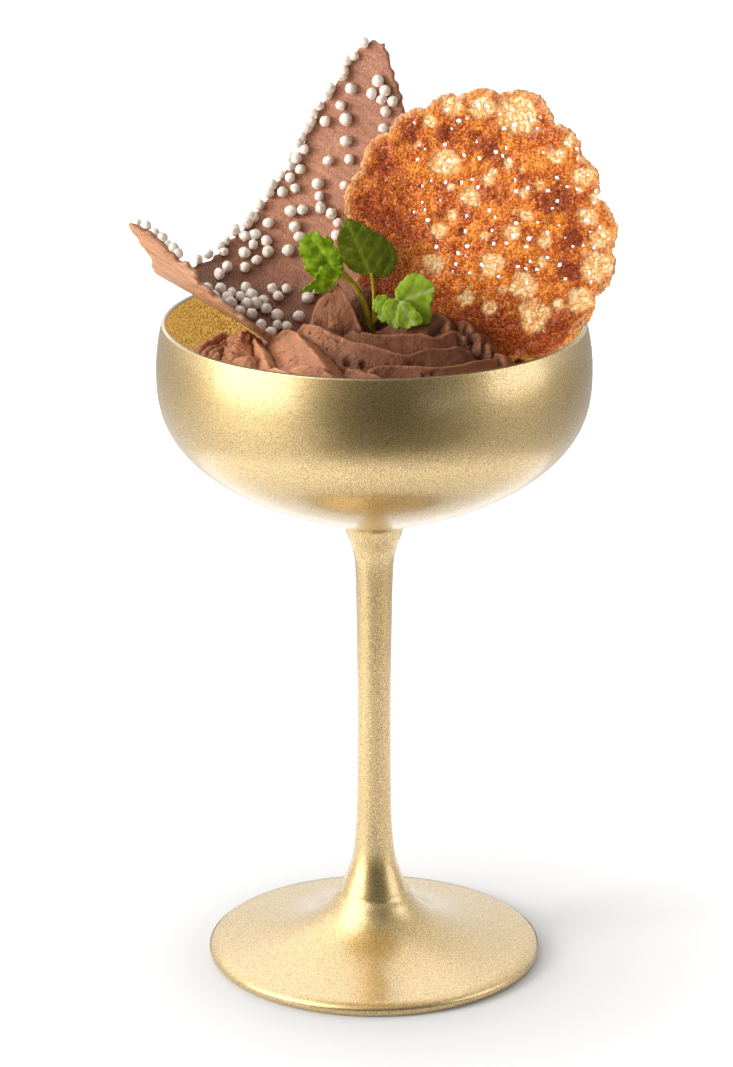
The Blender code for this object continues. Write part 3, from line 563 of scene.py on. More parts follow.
class Finish(Nodes):
    """The nodes of a material for one of the pieces."""

    def __init__(self, name, **sockets):
        self.material = bpy.data.materials.new(name)
        self.material.use_nodes = True
        super().__init__(self.material.node_tree)
        self.shader = self.tree.nodes["Principled BSDF"]
        self.place = self.node("TexCoord").outputs["Object"]
        for socket, value in sockets.items():
            self.join(value, socket.replace("_", " "))

    def join(self, value, name):
        """Joins an output to the shader's socket of this name, or sets the socket."""
        self.fill(self.shader.inputs[name], value)

    def speckle(self, size, detail=2.0, roughness=0.5):
        """Noise whose lumps are about size millimetres across."""
        scale = 1 / (size * MM)
        made = self.node("TexNoise", Vector=self.place, Scale=scale, Detail=detail, Roughness=roughness)
        return made.outputs["Fac"]

    def along(self, axis):
        """One coordinate of the place, in metres."""
        return self.node("SeparateXYZ", Vector=self.place).outputs[axis]

    def mark(self, name):
        """A value that the mesh holds for each of its points."""
        return self.node("Attribute", {"attribute_name": name}).outputs["Fac"]

    def blend(self, share, first, second, mode="MIX"):
        """Two colours mixed by a share."""
        made = self.node("Mix", {"data_type": "RGBA", "blend_type": mode})
        for index, value in ((0, share), (6, colour_of(first)), (7, colour_of(second))):
            self.fill(made.inputs[index], value)
        return made.outputs[2]

    def bumps(self, *layers):
        """Layers of (height, depth in millimetres), joined into the shader's normal."""
        normal = None
        for height, depth in layers:
            made = self.node("Bump", Height=height, Distance=depth * MM, Strength=1.0)
            if normal:
                self.tree.links.new(normal, made.inputs["Normal"])
            normal = made.outputs["Normal"]
        self.join(normal, "Normal")


def bend_point(start, bend, end, share):
    """A point on the curve that leaves start towards bend and arrives at end."""
    first = Vector(start).lerp(Vector(bend), share)
    second = Vector(bend).lerp(Vector(end), share)
    return first.lerp(second, share)


def soft_noise(across, along, seed):
    """Noise between -1 and 1 over arrays, from random values on a square lattice."""
    lattice = np.random.default_rng(seed).uniform(-1.0, 1.0, (NOISE_CELLS, NOISE_CELLS))
    column, row = (np.floor(value).astype(int) for value in (across, along))
    right, up = ease(across - column, 0, 1), ease(along - row, 0, 1)
    low, high = (
        lattice[column % NOISE_CELLS, (row + north) % NOISE_CELLS] * (1 - right)
        + lattice[(column + 1) % NOISE_CELLS, (row + north) % NOISE_CELLS] * right
        for north in (0, 1)
    )
    return low * (1 - up) + high * up


def lumps(across, along, size, seed):
    """Soft lumps over arrays; size is their two sizes and their height."""
    return size[2] * soft_noise(across / size[0], along / size[1], seed)


def ease(value, low, high):
    """A smooth step of an array from 0 at low to 1 at high."""
    share = np.clip((value - low) / (high - low), 0.0, 1.0)
    return share * share * (3 - 2 * share)


def places(bm):
    """The vertices' coordinates as three arrays."""
    return np.array([vert.co[:] for vert in bm.verts]).T


def move_to(bm, across, back, up):
    for vert, *place in zip(bm.verts, across, back, up):
        vert.co = place


def mark_verts(bm, marks):
    """Stores named rows of values on the vertices, for a finish to read."""
    for name, values in marks.items():
        layer = bm.verts.layers.float.new(name)
        for vert, value in zip(bm.verts, values):
            vert[layer] = value


# Coupe glass


def flaked_gold(finish, flakes, tints, roughness, depth):
    """Colour, roughness and relief of fine metal flakes."""
    tint = finish.ramp(flakes, *tints)
    finish.join(tint, "Base Color")
    finish.join(finish.ramp(flakes, *roughness), "Roughness")
    finish.bumps((flakes, depth))
    return tint


def gold_lacquer():
    """Fine metallic gold under a clear lacquer."""
    finish = Finish("gold_lacquer", Metallic=1.0, Coat_Weight=1.0, Coat_Roughness=0.2, Coat_IOR=1.7)
    flaked_gold(finish, finish.speckle(0.2, detail=1.0), GOLD, GOLD_ROUGHNESS, 0.03)
    return finish.material


def gold_under_glass_glow():
    """The lacquer seen through the clear wall, from inside; it glows in its flake colour, a painted glow
    standing in for light through the wall.
    """
    finish = Finish("gold_under_glass_glow", Metallic=0.1, Coat_Weight=0.3, Emission_Strength=0.4)
    flakes = finish.speckle(0.5, detail=1.5)
    tint = flaked_gold(finish, flakes, INNER_GOLD, INNER_GOLD_ROUGHNESS, 0.05)
    # painted light: the inside glows in its own colour, as if lit through the wall
    finish.join(tint, "Emission Color")
    return finish.material


def clear_lip():
    """The bare rim: clear at the back, and darkened in front with painted shade."""
    finish = Finish("clear_lip", Roughness=0.1, IOR=1.5)
    # painted shade: the lip darkens towards the front
    back = finish.span(finish.along("Y"), *LIP_SHADE_FADE)
    finish.join(finish.blend(back, *LIP_SHADE_TINTS), "Base Color")
    return finish.material


def bowl_curve(radius, bottom, last_radius, steps):
    """Rings down the lower bowl, from its widest one to the one of last_radius."""
    depth = WIDEST_HEIGHT - bottom
    last = math.acos((last_radius / radius) ** (BOWL_ROUNDNESS / 2))
    rings = []
    for step in range(steps + 1):
        angle = last * (step / steps) ** BOWL_SPACING
        across = radius * math.cos(angle) ** (2 / BOWL_ROUNDNESS)
        down = depth * math.sin(angle) ** (2 / BOWL_FULLNESS)
        rings.append((across, WIDEST_HEIGHT - down))
    return rings


def upper_wall(radius, lip_radius, top, steps):
    """Rings up the wall above the widest one, drawn in towards the lip."""
    rings = []
    for step in range(1, steps + 1):
        share = step / steps
        height = WIDEST_HEIGHT + (top - WIDEST_HEIGHT) * share
        rings.append((radius - (radius - lip_radius) * share**2, height))
    return rings


def lip_curve(steps):
    middle = LIP_RADIUS - WALL / 2
    rings = []
    for step in range(1, steps):
        angle = math.pi * (1 - step / steps)
        across = middle + WALL / 2 * math.cos(angle)
        rings.append((across, GLASS_HEIGHT - WALL / 2 + WALL / 2 * math.sin(angle)))
    return rings


def foot_curve(steps):
    """Rings down the foot's upper face, which falls away from the stem."""
    rings = []
    spread = (FOOT_TOP_RADIUS / FOOT_INNER_RING) ** (1 / steps)
    level = FOOT_SWEEP / (FOOT_TOP_RADIUS + FOOT_SWEEP_SHIFT)
    for step in range(steps + 1):
        across = FOOT_INNER_RING * spread**step
        height = FOOT_EDGE + FOOT_SWEEP / (across + FOOT_SWEEP_SHIFT) - level
        rings.append((across, height))
    return rings


def smooth_rings(rings, steps):
    """More rings between the given ones, on a curve through them."""
    fine = []
    last = len(rings) - 1
    for number in range(last):
        before = Vector(rings[max(number - 1, 0)])
        first = Vector(rings[number])
        second = Vector(rings[number + 1])
        after = Vector(rings[min(number + 2, last)])
        for step in range(steps):
            share = step / steps
            line = first.lerp(second, share)
            bend = (first * 2 - before - second) * (1 - share) + (second * 2 - first - after) * share
            fine.append(tuple(line + bend * share * (1 - share) * 0.5))
    fine.append(tuple(rings[-1]))
    return fine


def coupe_profile():
    wall_top = GLASS_HEIGHT - WALL / 2
    inside = bowl_curve(BOWL_RADIUS - WALL, BOWL_INNER_BOTTOM, 0.0, INSIDE_RINGS)
    profile = [(0.0, BOWL_INNER_BOTTOM), *reversed(inside[:-1])]
    profile += upper_wall(BOWL_RADIUS - WALL, LIP_RADIUS - WALL, wall_top, UPPER_WALL_RINGS)
    profile += lip_curve(LIP_STEPS)
    profile += reversed(upper_wall(BOWL_RADIUS, LIP_RADIUS, wall_top, UPPER_WALL_RINGS))
    profile += bowl_curve(BOWL_RADIUS, BOWL_BOTTOM, STEM_JOIN_RADIUS, OUTSIDE_RINGS)
    profile += smooth_rings([(radius, height) for height, radius in STEM_RINGS[:-2]], STEM_STEPS)
    profile += [(radius, height) for height, radius in STEM_RINGS[-2:]]
    profile += foot_curve(FOOT_RINGS)
    profile += smooth_rings(FOOT_ROUND, FOOT_ROUND_STEPS)
    profile.append((0.0, 0.0))
    return profile


def spin_profile(profile, segments):
    """A closed turned shape from (radius, height) rings that start and end on the axis."""
    bm = bmesh.new()
    ring = [bm.verts.new((across, 0.0, height)) for across, height in profile]
    line = [bm.edges.new(pair) for pair in zip(ring, ring[1:])]
    bmesh.ops.spin(
        bm,
        geom=[*ring, *line],
        cent=(0.0, 0.0, 0.0),
        axis=(0.0, 0.0, 1.0),
        angle=2 * math.pi,
        steps=segments,
        use_merge=True,
    )
    bmesh.ops.remove_doubles(bm, verts=bm.verts, dist=WELD)
    bmesh.ops.recalc_face_normals(bm, faces=bm.faces)
    return bm


def make_coupe():
    bm = spin_profile(coupe_profile(), COUPE_SEGMENTS)
    lip_low = GLASS_HEIGHT - WALL * CLEAR_LIP[0]
    lip_out = LIP_RADIUS - WALL * CLEAR_LIP[1]
    for face in bm.faces:
        centre = face.calc_center_median()
        outward = face.normal.x * centre.x + face.normal.y * centre.y
        if centre.z > lip_low and centre.to_2d().length < lip_out:
            face.material_index = 2
        elif centre.z > BOWL_INNER_BOTTOM - 0.5 and outward < 0:
            face.material_index = 1
    materials = [gold_lacquer(), gold_under_glass_glow(), clear_lip()]
    build("coupe_glass", bm, materials, "coupe")


# Mousse


def mousse_finish():
    """Whipped chocolate with wet bubbles: a painted highlight along its crests, painted shade in its
    creases and towards the right.
    """
    finish = Finish("chocolate_mousse", Specular_IOR_Level=0.14, Coat_Roughness=0.15)
    # painted shade: the mousse darkens towards the right, where the tuile and sheet shade it
    right = finish.span(finish.along("X"), *MOUSSE_SHADE_FADE)
    bubbly = finish.mark("bubbly")
    tint = finish.ramp(finish.speckle(4.0, detail=4.0), *MOUSSE_TINTS)
    tint = finish.blend(right, tint, MOUSSE_RIGHT_SHADE)
    # painted highlight: paler along the crests, dimmer on the shaded right
    tint = finish.blend(finish.mark("crest"), tint, finish.blend(right, *CREST_HIGHLIGHT_TINTS))
    # painted shade: darker in the creases and in the holes
    tint = finish.blend(finish.mark("crease"), tint, finish.blend(right, *CREASE_SHADE_TINTS), "MULTIPLY")
    finish.join(tint, "Base Color")
    finish.join(finish.blend(bubbly, 0.44, 0.3), "Roughness")
    wet = finish.blend(right, 0.2, 0.06)
    finish.join(finish.blend(bubbly, wet, 0.14), "Coat Weight")
    froth = finish.blend(1.0, finish.speckle(0.8, detail=3.0), bubbly, "MULTIPLY")
    finish.bumps((froth, 0.7), (finish.speckle(1.4), 0.5), (finish.speckle(0.5, detail=3.0), 0.32))
    return finish.material


def side_fall(distance, width, drop, bulge):
    """How far a fold's side has fallen at distances from its crest."""
    near = drop * (np.minimum(distance, width) / width) ** bulge
    return near + np.maximum(distance - width, 0.0) * FOLD_FOOT_SLOPE


def crest_distance(across, back, crest):
    """For arrays of places: how far the crest is, its height, length and way there, and the side."""
    nearest = [np.full(across.shape, np.inf), *np.zeros((5, *across.shape))]
    done = 0.0
    for first, second in zip(crest, crest[1:]):
        run = second - first
        length = run.to_2d().length
        share = (across - first.x) * run.x + (back - first.y) * run.y
        share = np.clip(share / length**2, 0.0, 1.0)
        away_x = across - first.x - run.x * share
        away_y = back - first.y - run.y * share
        distance = np.hypot(away_x, away_y) + 0.0001
        found = [distance, first.z + run.z * share, done + share * length]
        found += [away_x / distance, away_y / distance, run.x * away_y - run.y * away_x > 0]
        closer = distance < nearest[0]
        nearest = [np.where(closer, new, old) for new, old in zip(found, nearest)]
        done += length
    return nearest, done


def fold_field(across, back, fold, seed):
    """One fold over arrays of places: its height, distance from the crest and crest's lean."""
    (left, right), rib_depth, curl, points = fold
    crest = [Vector(point) for point in smooth_rings(points, PATH_STEPS)]
    (nearest, height, along, out_x, out_y, on_left), length = crest_distance(across, back, crest)
    full = np.minimum(ease(along, 0, FOLD_END), ease(length - along, 0, FOLD_END))
    rounded = (np.hypot(nearest, CREST_ROUND) - CREST_ROUND) / (0.5 + 0.5 * full)
    fall = np.where(on_left, side_fall(rounded, *left), side_fall(rounded, *right))
    wander_along, wander_out, amount = RIB_WANDER
    wander = soft_noise(along / wander_along, nearest / wander_out + 7 * on_left, seed) * amount
    wave = (nearest / RIB_SPACING + wander / (2 * RIB_SPACING)) % 1.0
    ribs = np.maximum(wave, 1 - wave / RIB_RISE) * ease(nearest, *RIB_START) * ease(wander, *RIB_PATCHES)
    height = height + lumps(along, along * 0, (CREST_WOBBLE[0], 1.0, CREST_WOBBLE[1]), seed + 2)
    height = height - fall - rib_depth * 2 * ribs + lumps(along, nearest, LUMPS, seed + 1)
    height = height - FOLD_END_DROP * (1 - full)
    curling = curl * np.exp(-((nearest / CURL_WIDTH) ** 2)) * np.where(on_left, -1, 1) * full
    return height, nearest, out_x * curling, out_y * curling


def heap_field(across, back):
    """The smooth heap under the folds, and the moat between it and the glass."""
    reach = np.hypot((across - HEAP_CENTRE[0]) / HEAP_RADII[0], (back - HEAP_CENTRE[1]) / HEAP_RADII[1])
    top = HEAP_SHOULDER + (HEAP_TOP - HEAP_SHOULDER) * (1 - np.minimum(reach, 1.0) ** 2)
    return top + (MOAT_FLOOR - HEAP_SHOULDER) * ease(reach, 1.0, 1.0 + MOAT_WIDTH)


def mousse_surface(across, back):
    """The piped top over arrays of places: where its points go, and marks for its colour."""
    (wide_size, wide_amount), (fine_size, fine_amount) = WARPS
    wide = [soft_noise(across / wide_size + 3, back / wide_size, seed) for seed in (11, 12)]
    fine = [soft_noise(across / fine_size, back / fine_size + 5, seed) for seed in (13, 14)]
    bends = [wide_amount * slow + fine_amount * quick for slow, quick in zip(wide, fine)]
    place = (across + bends[0], back + bends[1])
    surface = heap_field(*place)
    second = surface - 5.0
    crest = np.zeros(across.shape)
    lean_x, lean_y = crest, crest
    for number, fold in enumerate(FOLDS):
        line_x, line_y, _ = np.array(fold[3]).T
        near = (place[0] > line_x.min() - FOLD_MARGIN) & (place[0] < line_x.max() + FOLD_MARGIN)
        near &= (place[1] > line_y.min() - FOLD_MARGIN) & (place[1] < line_y.max() + FOLD_MARGIN)
        field = fold_field(place[0][near], place[1][near], fold, 20 + 3 * number)
        height, nearest, push_x, push_y = (np.full(across.shape, -99.0) for _ in range(4))
        for array, part in zip((height, nearest, push_x, push_y), field):
            array[near] = part
        second = np.maximum(second, np.minimum(surface, height))
        above = height > surface
        crest = np.where(above, np.exp(-((nearest / CREST_WIDTH) ** 2)), crest)
        lean_x = np.where(above, push_x, lean_x)
        lean_y = np.where(above, push_y, lean_y)
        surface = np.maximum(surface, height)
    crease = np.exp(-(((surface - second) / CREASE_SPREAD) ** 2))
    surface = surface - CREASE_DEPTH * crease
    bubbly = np.zeros(across.shape)
    solid_to, gone_at, raggedness = BUBBLY_EDGE
    for middle_x, middle_y, radius in BUBBLY:
        away = np.hypot(across - middle_x, back - middle_y) / radius
        bubbly = np.maximum(bubbly, 1 - ease(away + raggedness * fine[0], solid_to, gone_at))
    small, large = (soft_noise(across / size, back / size, 90 + n) for n, size in enumerate(FROTH_SIZES))
    surface -= FROTH_DEPTH * bubbly * ease(small * large, *FROTH_LEVELS)
    surface += bubbly * lumps(across, back, FROTH_LUMPS, 92) + lumps(across, back, MOUSSE_GRAIN, 93)
    for middle_x, middle_y, radius, depth in HOLES:
        away = np.hypot(across - middle_x, (back - middle_y) * 1.2) / radius
        hole = np.exp(-(away**4))
        surface -= depth * hole
        # the holes take the painted crease shade too
        crease = np.maximum(crease, 0.9 * hole)
    # crest carries a painted highlight and crease a painted shade, both for the colour
    marks = {"crest": 0.6 * crest * (1 - crease), "crease": crease, "bubbly": bubbly}
    return across + lean_x, back + lean_y, surface, marks


def mousse_profile():
    """From the middle of the top out to the glass, then in along the inside of the bowl."""
    radius = BOWL_RADIUS - WALL + MOUSSE_OVERLAP
    bottom = BOWL_INNER_BOTTOM - MOUSSE_OVERLAP
    bowl = bowl_curve(radius, bottom, 0.0, MOUSSE_BOWL_RINGS)
    under = [ring for ring in bowl if ring[1] < MOUSSE_WALL_HEIGHT]
    above = bowl[len(bowl) - len(under) - 1]
    share = (MOUSSE_WALL_HEIGHT - under[0][1]) / (above[1] - under[0][1])
    edge = under[0][0] + (above[0] - under[0][0]) * share
    shares = [(number / MOUSSE_RINGS) ** MOUSSE_RING_SPACING for number in range(MOUSSE_RINGS)]
    top = [(edge * share, MOAT_FLOOR) for share in shares]
    return [*top, (edge, MOUSSE_WALL_HEIGHT), *under[:-1], (0.0, bottom)], edge


def make_mousse():
    profile, edge = mousse_profile()
    bm = spin_profile(profile, MOUSSE_SEGMENTS)
    across, back, up = places(bm)
    reach, angle = np.hypot(across, back), np.arctan2(back, across)
    angle = angle + FRONT_CROWDING * np.cos(angle)
    across, back = reach * np.cos(angle), reach * np.sin(angle)
    top = (up > MOAT_FLOOR - WELD) & (reach < edge - MOUSSE_PLAIN_EDGE)
    top_across, top_back, surface, marks = mousse_surface(across, back)
    mark_verts(bm, {name: np.where(top, mark, 0.0) for name, mark in marks.items()})
    across, back = np.where(top, top_across, across), np.where(top, top_back, back)
    move_to(bm, across, back, np.where(top, surface, up))
    build("piped_mousse", bm, [mousse_finish()], "mousse")


# Chocolate sheet


def sheet_finish(name, tints, shine):
    """Milk chocolate with a fine grain, streaked along the curl's straight lines."""
    finish = Finish(name, Specular_IOR_Level=shine)
    lines = finish.node("Attribute", {"attribute_name": "lines"}).outputs["Vector"]
    streaks = finish.node("TexNoise", Vector=lines, Scale=1.0, Detail=4.0, Roughness=0.6).outputs["Fac"]
    specks = finish.speckle(0.4, detail=3.0)
    pale = finish.ramp(specks, (0.5, 0.0), (0.75, 0.45))
    dark = finish.ramp(specks, (0.25, 0.6), (0.45, 0.0))
    # painted shade: darker where the curl is low and near its top
    tint = finish.blend(finish.mark("low"), finish.ramp(streaks, *tints), SHEET_SHADE_TINT)
    tint = finish.blend(pale, tint, SHEET_PALE_SPECK)
    finish.join(finish.blend(dark, tint, SHEET_DARK_SPECK), "Base Color")
    finish.join(finish.ramp(specks, (0.3, 0.34), (0.7, 0.52)), "Roughness")
    finish.bumps((specks, 0.25), (streaks, 0.15), (finish.speckle(1.6), 0.25))
    return finish.material


def sheet_axes():
    """The way along the curl, the way round its lowest line, and the way up from it."""
    yaw = math.radians(SHEET_YAW)
    dip = math.radians(SHEET_DIP)
    along = Vector((math.cos(yaw) * math.cos(dip), -math.sin(yaw) * math.cos(dip), -math.sin(dip)))
    around = Vector((math.sin(yaw), math.cos(yaw), 0.0))
    return along, around, along.cross(around)


def curl_section(turn):
    """Across and up for a distance round the curl, and the angle it has turned through."""
    if turn < 0:
        angle = turn / NEAR_CURL
        return NEAR_CURL * math.sin(angle), NEAR_CURL * (1 - math.cos(angle)), angle
    angle = min(turn, FAR_CURL_LENGTH) / FAR_CURL
    across = FAR_CURL * math.sin(angle)
    up = FAR_CURL * (1 - math.cos(angle))
    further = angle + max(turn - FAR_CURL_LENGTH, 0.0) / TOP_CURL
    across += TOP_CURL * (math.sin(further) - math.sin(angle))
    up -= TOP_CURL * (math.cos(further) - math.cos(angle))
    return across, up, further


def near_tuck(turn, along_by):
    """How far the near side is pressed in, more towards its low end."""
    middle, width, depth, slope = TUCK
    share = math.cos(math.pi / 2 * min(abs(turn - middle) / width, 1.0)) ** 2
    return share * max(0.0, depth + slope * along_by)


def on_sheet(turn, along_by, lift=0.0):
    """A point on the curl, lifted from its middle towards the inside."""
    along, around, up = sheet_axes()
    across, rise, angle = curl_section(turn)
    lift += near_tuck(turn, along_by)
    across -= lift * math.sin(angle)
    rise += lift * math.cos(angle)
    return SHEET_ORIGIN + along * along_by + around * across + up * rise


def border_points(outline, step):
    """The outline with more points, about a step apart, and the way outwards at each."""
    points = []
    for number, second in enumerate(outline):
        first = Vector(outline[number - 1])
        run = Vector(second) - first
        count = max(round(run.length / step), 1)
        points += [first + run * (n / count) for n in range(count)]
    outward = []
    for number, after in enumerate([*points[1:], points[0]]):
        outward.append((after - points[number - 1]).orthogonal().normalized())
    return points, outward


def ragged(outline, step, depth, seed):
    """The outline moved in and out to look broken."""
    points, outward = border_points(outline, step)
    count = np.arange(len(points))
    small, large = SHEET_EDGE_BREAKS
    shift = soft_noise(count * small, count * 0, seed)
    shift = shift - np.abs(soft_noise(count * large, count * 0, seed + 1))
    return [point + out * depth * move for point, out, move in zip(points, outward, shift)]


def flat_sheet(outline, step):
    """A flat sheet inside an outline, cut into strips both ways."""
    bm = bmesh.new()
    ring = [bm.verts.new((*point, 0.0)) for point in outline]
    border = [bm.edges.new(pair) for pair in zip(ring, [*ring[1:], ring[0]])]
    bmesh.ops.edgeloop_fill(bm, edges=border)
    for axis in (0, 1):
        normal = Vector((axis == 0, axis == 1, 0))
        low = min(point[axis] for point in outline)
        high = max(point[axis] for point in outline)
        for number in range(1, int((high - low) / step) + 1):
            geometry = [*bm.verts, *bm.edges, *bm.faces]
            cut = normal * (low + number * step)
            bmesh.ops.bisect_plane(bm, geom=geometry, dist=0.0001, plane_co=cut, plane_no=normal)
    bmesh.ops.remove_doubles(bm, verts=bm.verts, dist=0.01)
    return bm


def sheet_shade(turn):
    """How much painted shade darkens the sheet, for a distance round the curl: most where it is low, and
    near its top.
    """
    middle, width, depth = SHEET_LOW_SHADE
    low = depth * max(0.0, 1 - abs(turn - middle) / width) if turn > 0 else 0.0
    start, width, depth = SHEET_TOP_SHADE
    return low + depth * min(1.0, max(0.0, (turn - start) / width))


def make_sheet():
    bm = flat_sheet(ragged(SHEET_OUTLINE, *SHEET_EDGE, 5), SHEET_STEP)
    turn, along, _ = places(bm)
    lift = sum(lumps(turn, along, wave, 51 + n) for n, wave in enumerate(SHEET_WAVES))
    # the low mark holds the painted shade
    mark_verts(bm, {"low": [sheet_shade(vert.co.x) for vert in bm.verts]})
    lines = bm.verts.layers.float_vector.new("lines")
    for vert, height in zip(bm.verts, lift):
        vert[lines] = (vert.co.x / SHEET_STREAK[0], vert.co.y / SHEET_STREAK[1], 0.0)
        vert.co = on_sheet(vert.co.x, vert.co.y, height)
    inside = sheet_finish("sheet_inside", SHEET_INSIDE, 0.4)
    outside = sheet_finish("sheet_outside", SHEET_OUTSIDE, 0.25)
    sheet = build("curled_sheet", bm, [inside, outside], "chocolate_sheet")
    solid = thicken(sheet, SHEET_THICKNESS)
    solid.material_offset = 1
    solid.material_offset_rim = 1


# Sugar pearls


def pearl_finish():
    finish = Finish("sugar_pearls", Roughness=0.5, Subsurface_Weight=0.15, Subsurface_Scale=MM)
    finish.join(finish.ramp(finish.speckle(1.0), *PEARL_TINTS), "Base Color")
    finish.bumps((finish.speckle(0.45), 0.2))
    return finish.material


def edge_at(value, axis):
    """Where the sheet's edge first crosses a line."""
    crossings = []
    for first, second in zip(SHEET_OUTLINE, [*SHEET_OUTLINE[1:], SHEET_OUTLINE[0]]):
        if (first[axis] - value) * (second[axis] - value) <= 0 and first[axis] != second[axis]:
            share = (value - first[axis]) / (second[axis] - first[axis])
            other = 1 - axis
            crossings.append(first[other] + (second[other] - first[other]) * share)
    return min(crossings)


def add_pearl(bm, centre, radius, random):
    """One pearl, a little lumpy."""
    made = bmesh.ops.create_icosphere(bm, subdivisions=2, radius=radius)
    stretch = [random.uniform(*PEARL_STRETCH) for _ in range(3)]
    seed = Vector([random.uniform(0, 50) for _ in range(3)])
    for vert in made["verts"]:
        grown = 1 + PEARL_LUMPS * noise.noise(vert.co * 1.1 + seed)
        vert.co = Vector(a * b * grown for a, b in zip(vert.co, stretch)) + centre


def make_pearls():
    random = np.random.default_rng(8)
    placed = list(PEARLS)
    placed += [(turn, edge_at(turn, 0) + random.uniform(*EDGE_SLACK)) for turn in EDGE_PEARLS]
    placed += [(edge_at(along, 1) + random.uniform(*WING_SLACK), along) for along in WING_PEARLS]
    bm = bmesh.new()
    for turn, along in placed:
        radius = random.uniform(*PEARL_RADII)
        centre = on_sheet(turn, along, SHEET_THICKNESS / 2 + radius * PEARL_SEAT)
        add_pearl(bm, centre, radius, random)
    build("sugar_pearls", bm, [pearl_finish()])


# Caramel tuile


def tuile_reach(angle):
    """The rim's distance from the centre, on the largest of the lobes there."""
    reach = np.zeros(np.shape(angle))
    for middle, lobe in TUILE_LOBES:
        away = (angle - middle + 180.0) % 360.0 - 180.0
        reach = np.maximum(reach, lobe - LOBE_CURVE * away**2)
    return reach


def tuile_placement():
    """Stands the flat disc up, turns its face and leans it back."""
    upright = Matrix.Rotation(math.radians(90.0 - TUILE_LEAN), 4, "X")
    turned = Matrix.Rotation(math.radians(TUILE_YAW), 4, "Z")
    return Matrix.Translation(TUILE_CENTRE) @ turned @ upright


def caramel_finish():
    """Baked sugar lace: amber crystals, scorched in places, with pale clear blisters; painted shade at
    its left and bottom, and a painted glow.
    """
    finish = Finish("caramel", Roughness=0.25, Specular_IOR_Level=0.3, Emission_Strength=0.12)
    finish.join(0.3, "Coat Weight")
    finish.join(0.06, "Coat Roughness")
    grain = finish.speckle(0.5, roughness=0.7)
    wrinkles = finish.speckle(1.4, roughness=0.6)
    tint = finish.ramp(finish.speckle(4.0, detail=4.0, roughness=0.6), *AMBER)
    dark = finish.ramp(grain, (0.36, 0.8), (0.5, 0.0))
    light = finish.ramp(grain, (0.54, 0.0), (0.66, 0.8))
    tint = finish.blend(dark, tint, AMBER_DARK_GRAIN)
    tint = finish.blend(light, tint, AMBER_LIGHT_GRAIN)
    # scorched patches and painted shade share one darker amber
    tint = finish.blend(finish.mark("burns_and_shade"), tint, finish.ramp(grain, *BURNT_AND_SHADED_AMBER))
    tint = finish.blend(finish.mark("window"), tint, finish.ramp(wrinkles, *CLEAR_AMBER))
    finish.join(tint, "Base Color")
    # painted light: the caramel glows in its own colour, standing in for light shining through it
    finish.join(tint, "Emission Color")
    finish.bumps((finish.speckle(1.2), 0.6), (grain, 0.5), (wrinkles, 0.3))
    return finish.material


def tuile_holes(random):
    """Pinholes over the middle and the right, as across, up and radius."""
    holes = []
    right, high, size, most = PINHOLE_CROWD
    while len(holes) < PINHOLES:
        across, up = (random.uniform(*limits) for limits in PINHOLE_FIELD)
        radius = random.uniform(*PINHOLE_RADII)
        clear = all(math.dist((across, up), other[:2]) > PINHOLE_SPACING for other in holes)
        crowd = random.uniform(0, 1) < most - math.hypot(across - right, up - high) / size
        if clear and crowd and math.hypot(across, up) < PINHOLE_REACH:
            holes.append((across, up, radius))
    return holes


def tuile_windows(random):
    """The large blisters, and small ones between them."""
    windows = list(TUILE_WINDOWS)
    while len(windows) < len(TUILE_WINDOWS) + SMALL_BLISTERS:
        angle = random.uniform(0, 2 * math.pi)
        reach = SMALL_BLISTER_REACH * math.sqrt(random.uniform(0, 1))
        across, up = reach * math.cos(angle), reach * math.sin(angle)
        if across > random.uniform(*SMALL_BLISTER_LEFT):
            windows.append((across, up, random.uniform(*SMALL_BLISTER_RADII)))
    return windows


def spots(across, up, places_and_radii, edge, seed):
    """How deep each point lies in the nearest of some ragged spots, from 0 to 1."""
    ragged_by, soft = edge
    ragged_edge = np.zeros(across.shape)
    for turn, size, share in SPOT_EDGES:
        along = (across * math.cos(turn) + up * math.sin(turn)) / size
        beside = (up * math.cos(turn) - across * math.sin(turn)) / size
        ragged_edge += share * soft_noise(along, beside, seed)
    depth = np.zeros(across.shape)
    for middle, height, radius in places_and_radii:
        away = np.hypot(across - middle, up - height) / radius + ragged_by * ragged_edge
        depth = np.maximum(depth, 1 - ease(away, 1 - soft, 1 + soft))
    return depth


def tuile_marks(across, up, reach, windows):
    """How far each point is part of a thin blister or of the rim, and how dark it is from scorching and
    from painted shade.
    """
    window = spots(across, up, windows, WINDOW_EDGE, 73)
    burns_and_shade = spots(across, up, TUILE_BURNS, BURN_EDGE, 75)
    # painted shade at the left and the bottom, and the darker ring round the blisters
    shade = LEFT_SHADE[2] * ease(-across - 0.2 * up, *LEFT_SHADE[:2])
    shade = shade + LOW_SHADE[2] * ease(-up, *LOW_SHADE[:2]) + BLISTER_BURN * (4 * window * (1 - window))
    burns_and_shade = np.maximum(burns_and_shade, np.minimum(shade, DARKEST_SHADE_AND_BURN))
    rim = ease(np.hypot(across, up) / reach, RIM_SHARE, 1.0)
    marks = {"window": np.maximum(0.9 * window, 0.45 * rim), "burns_and_shade": burns_and_shade * (1 - window) * (1 - rim)}
    return window, marks


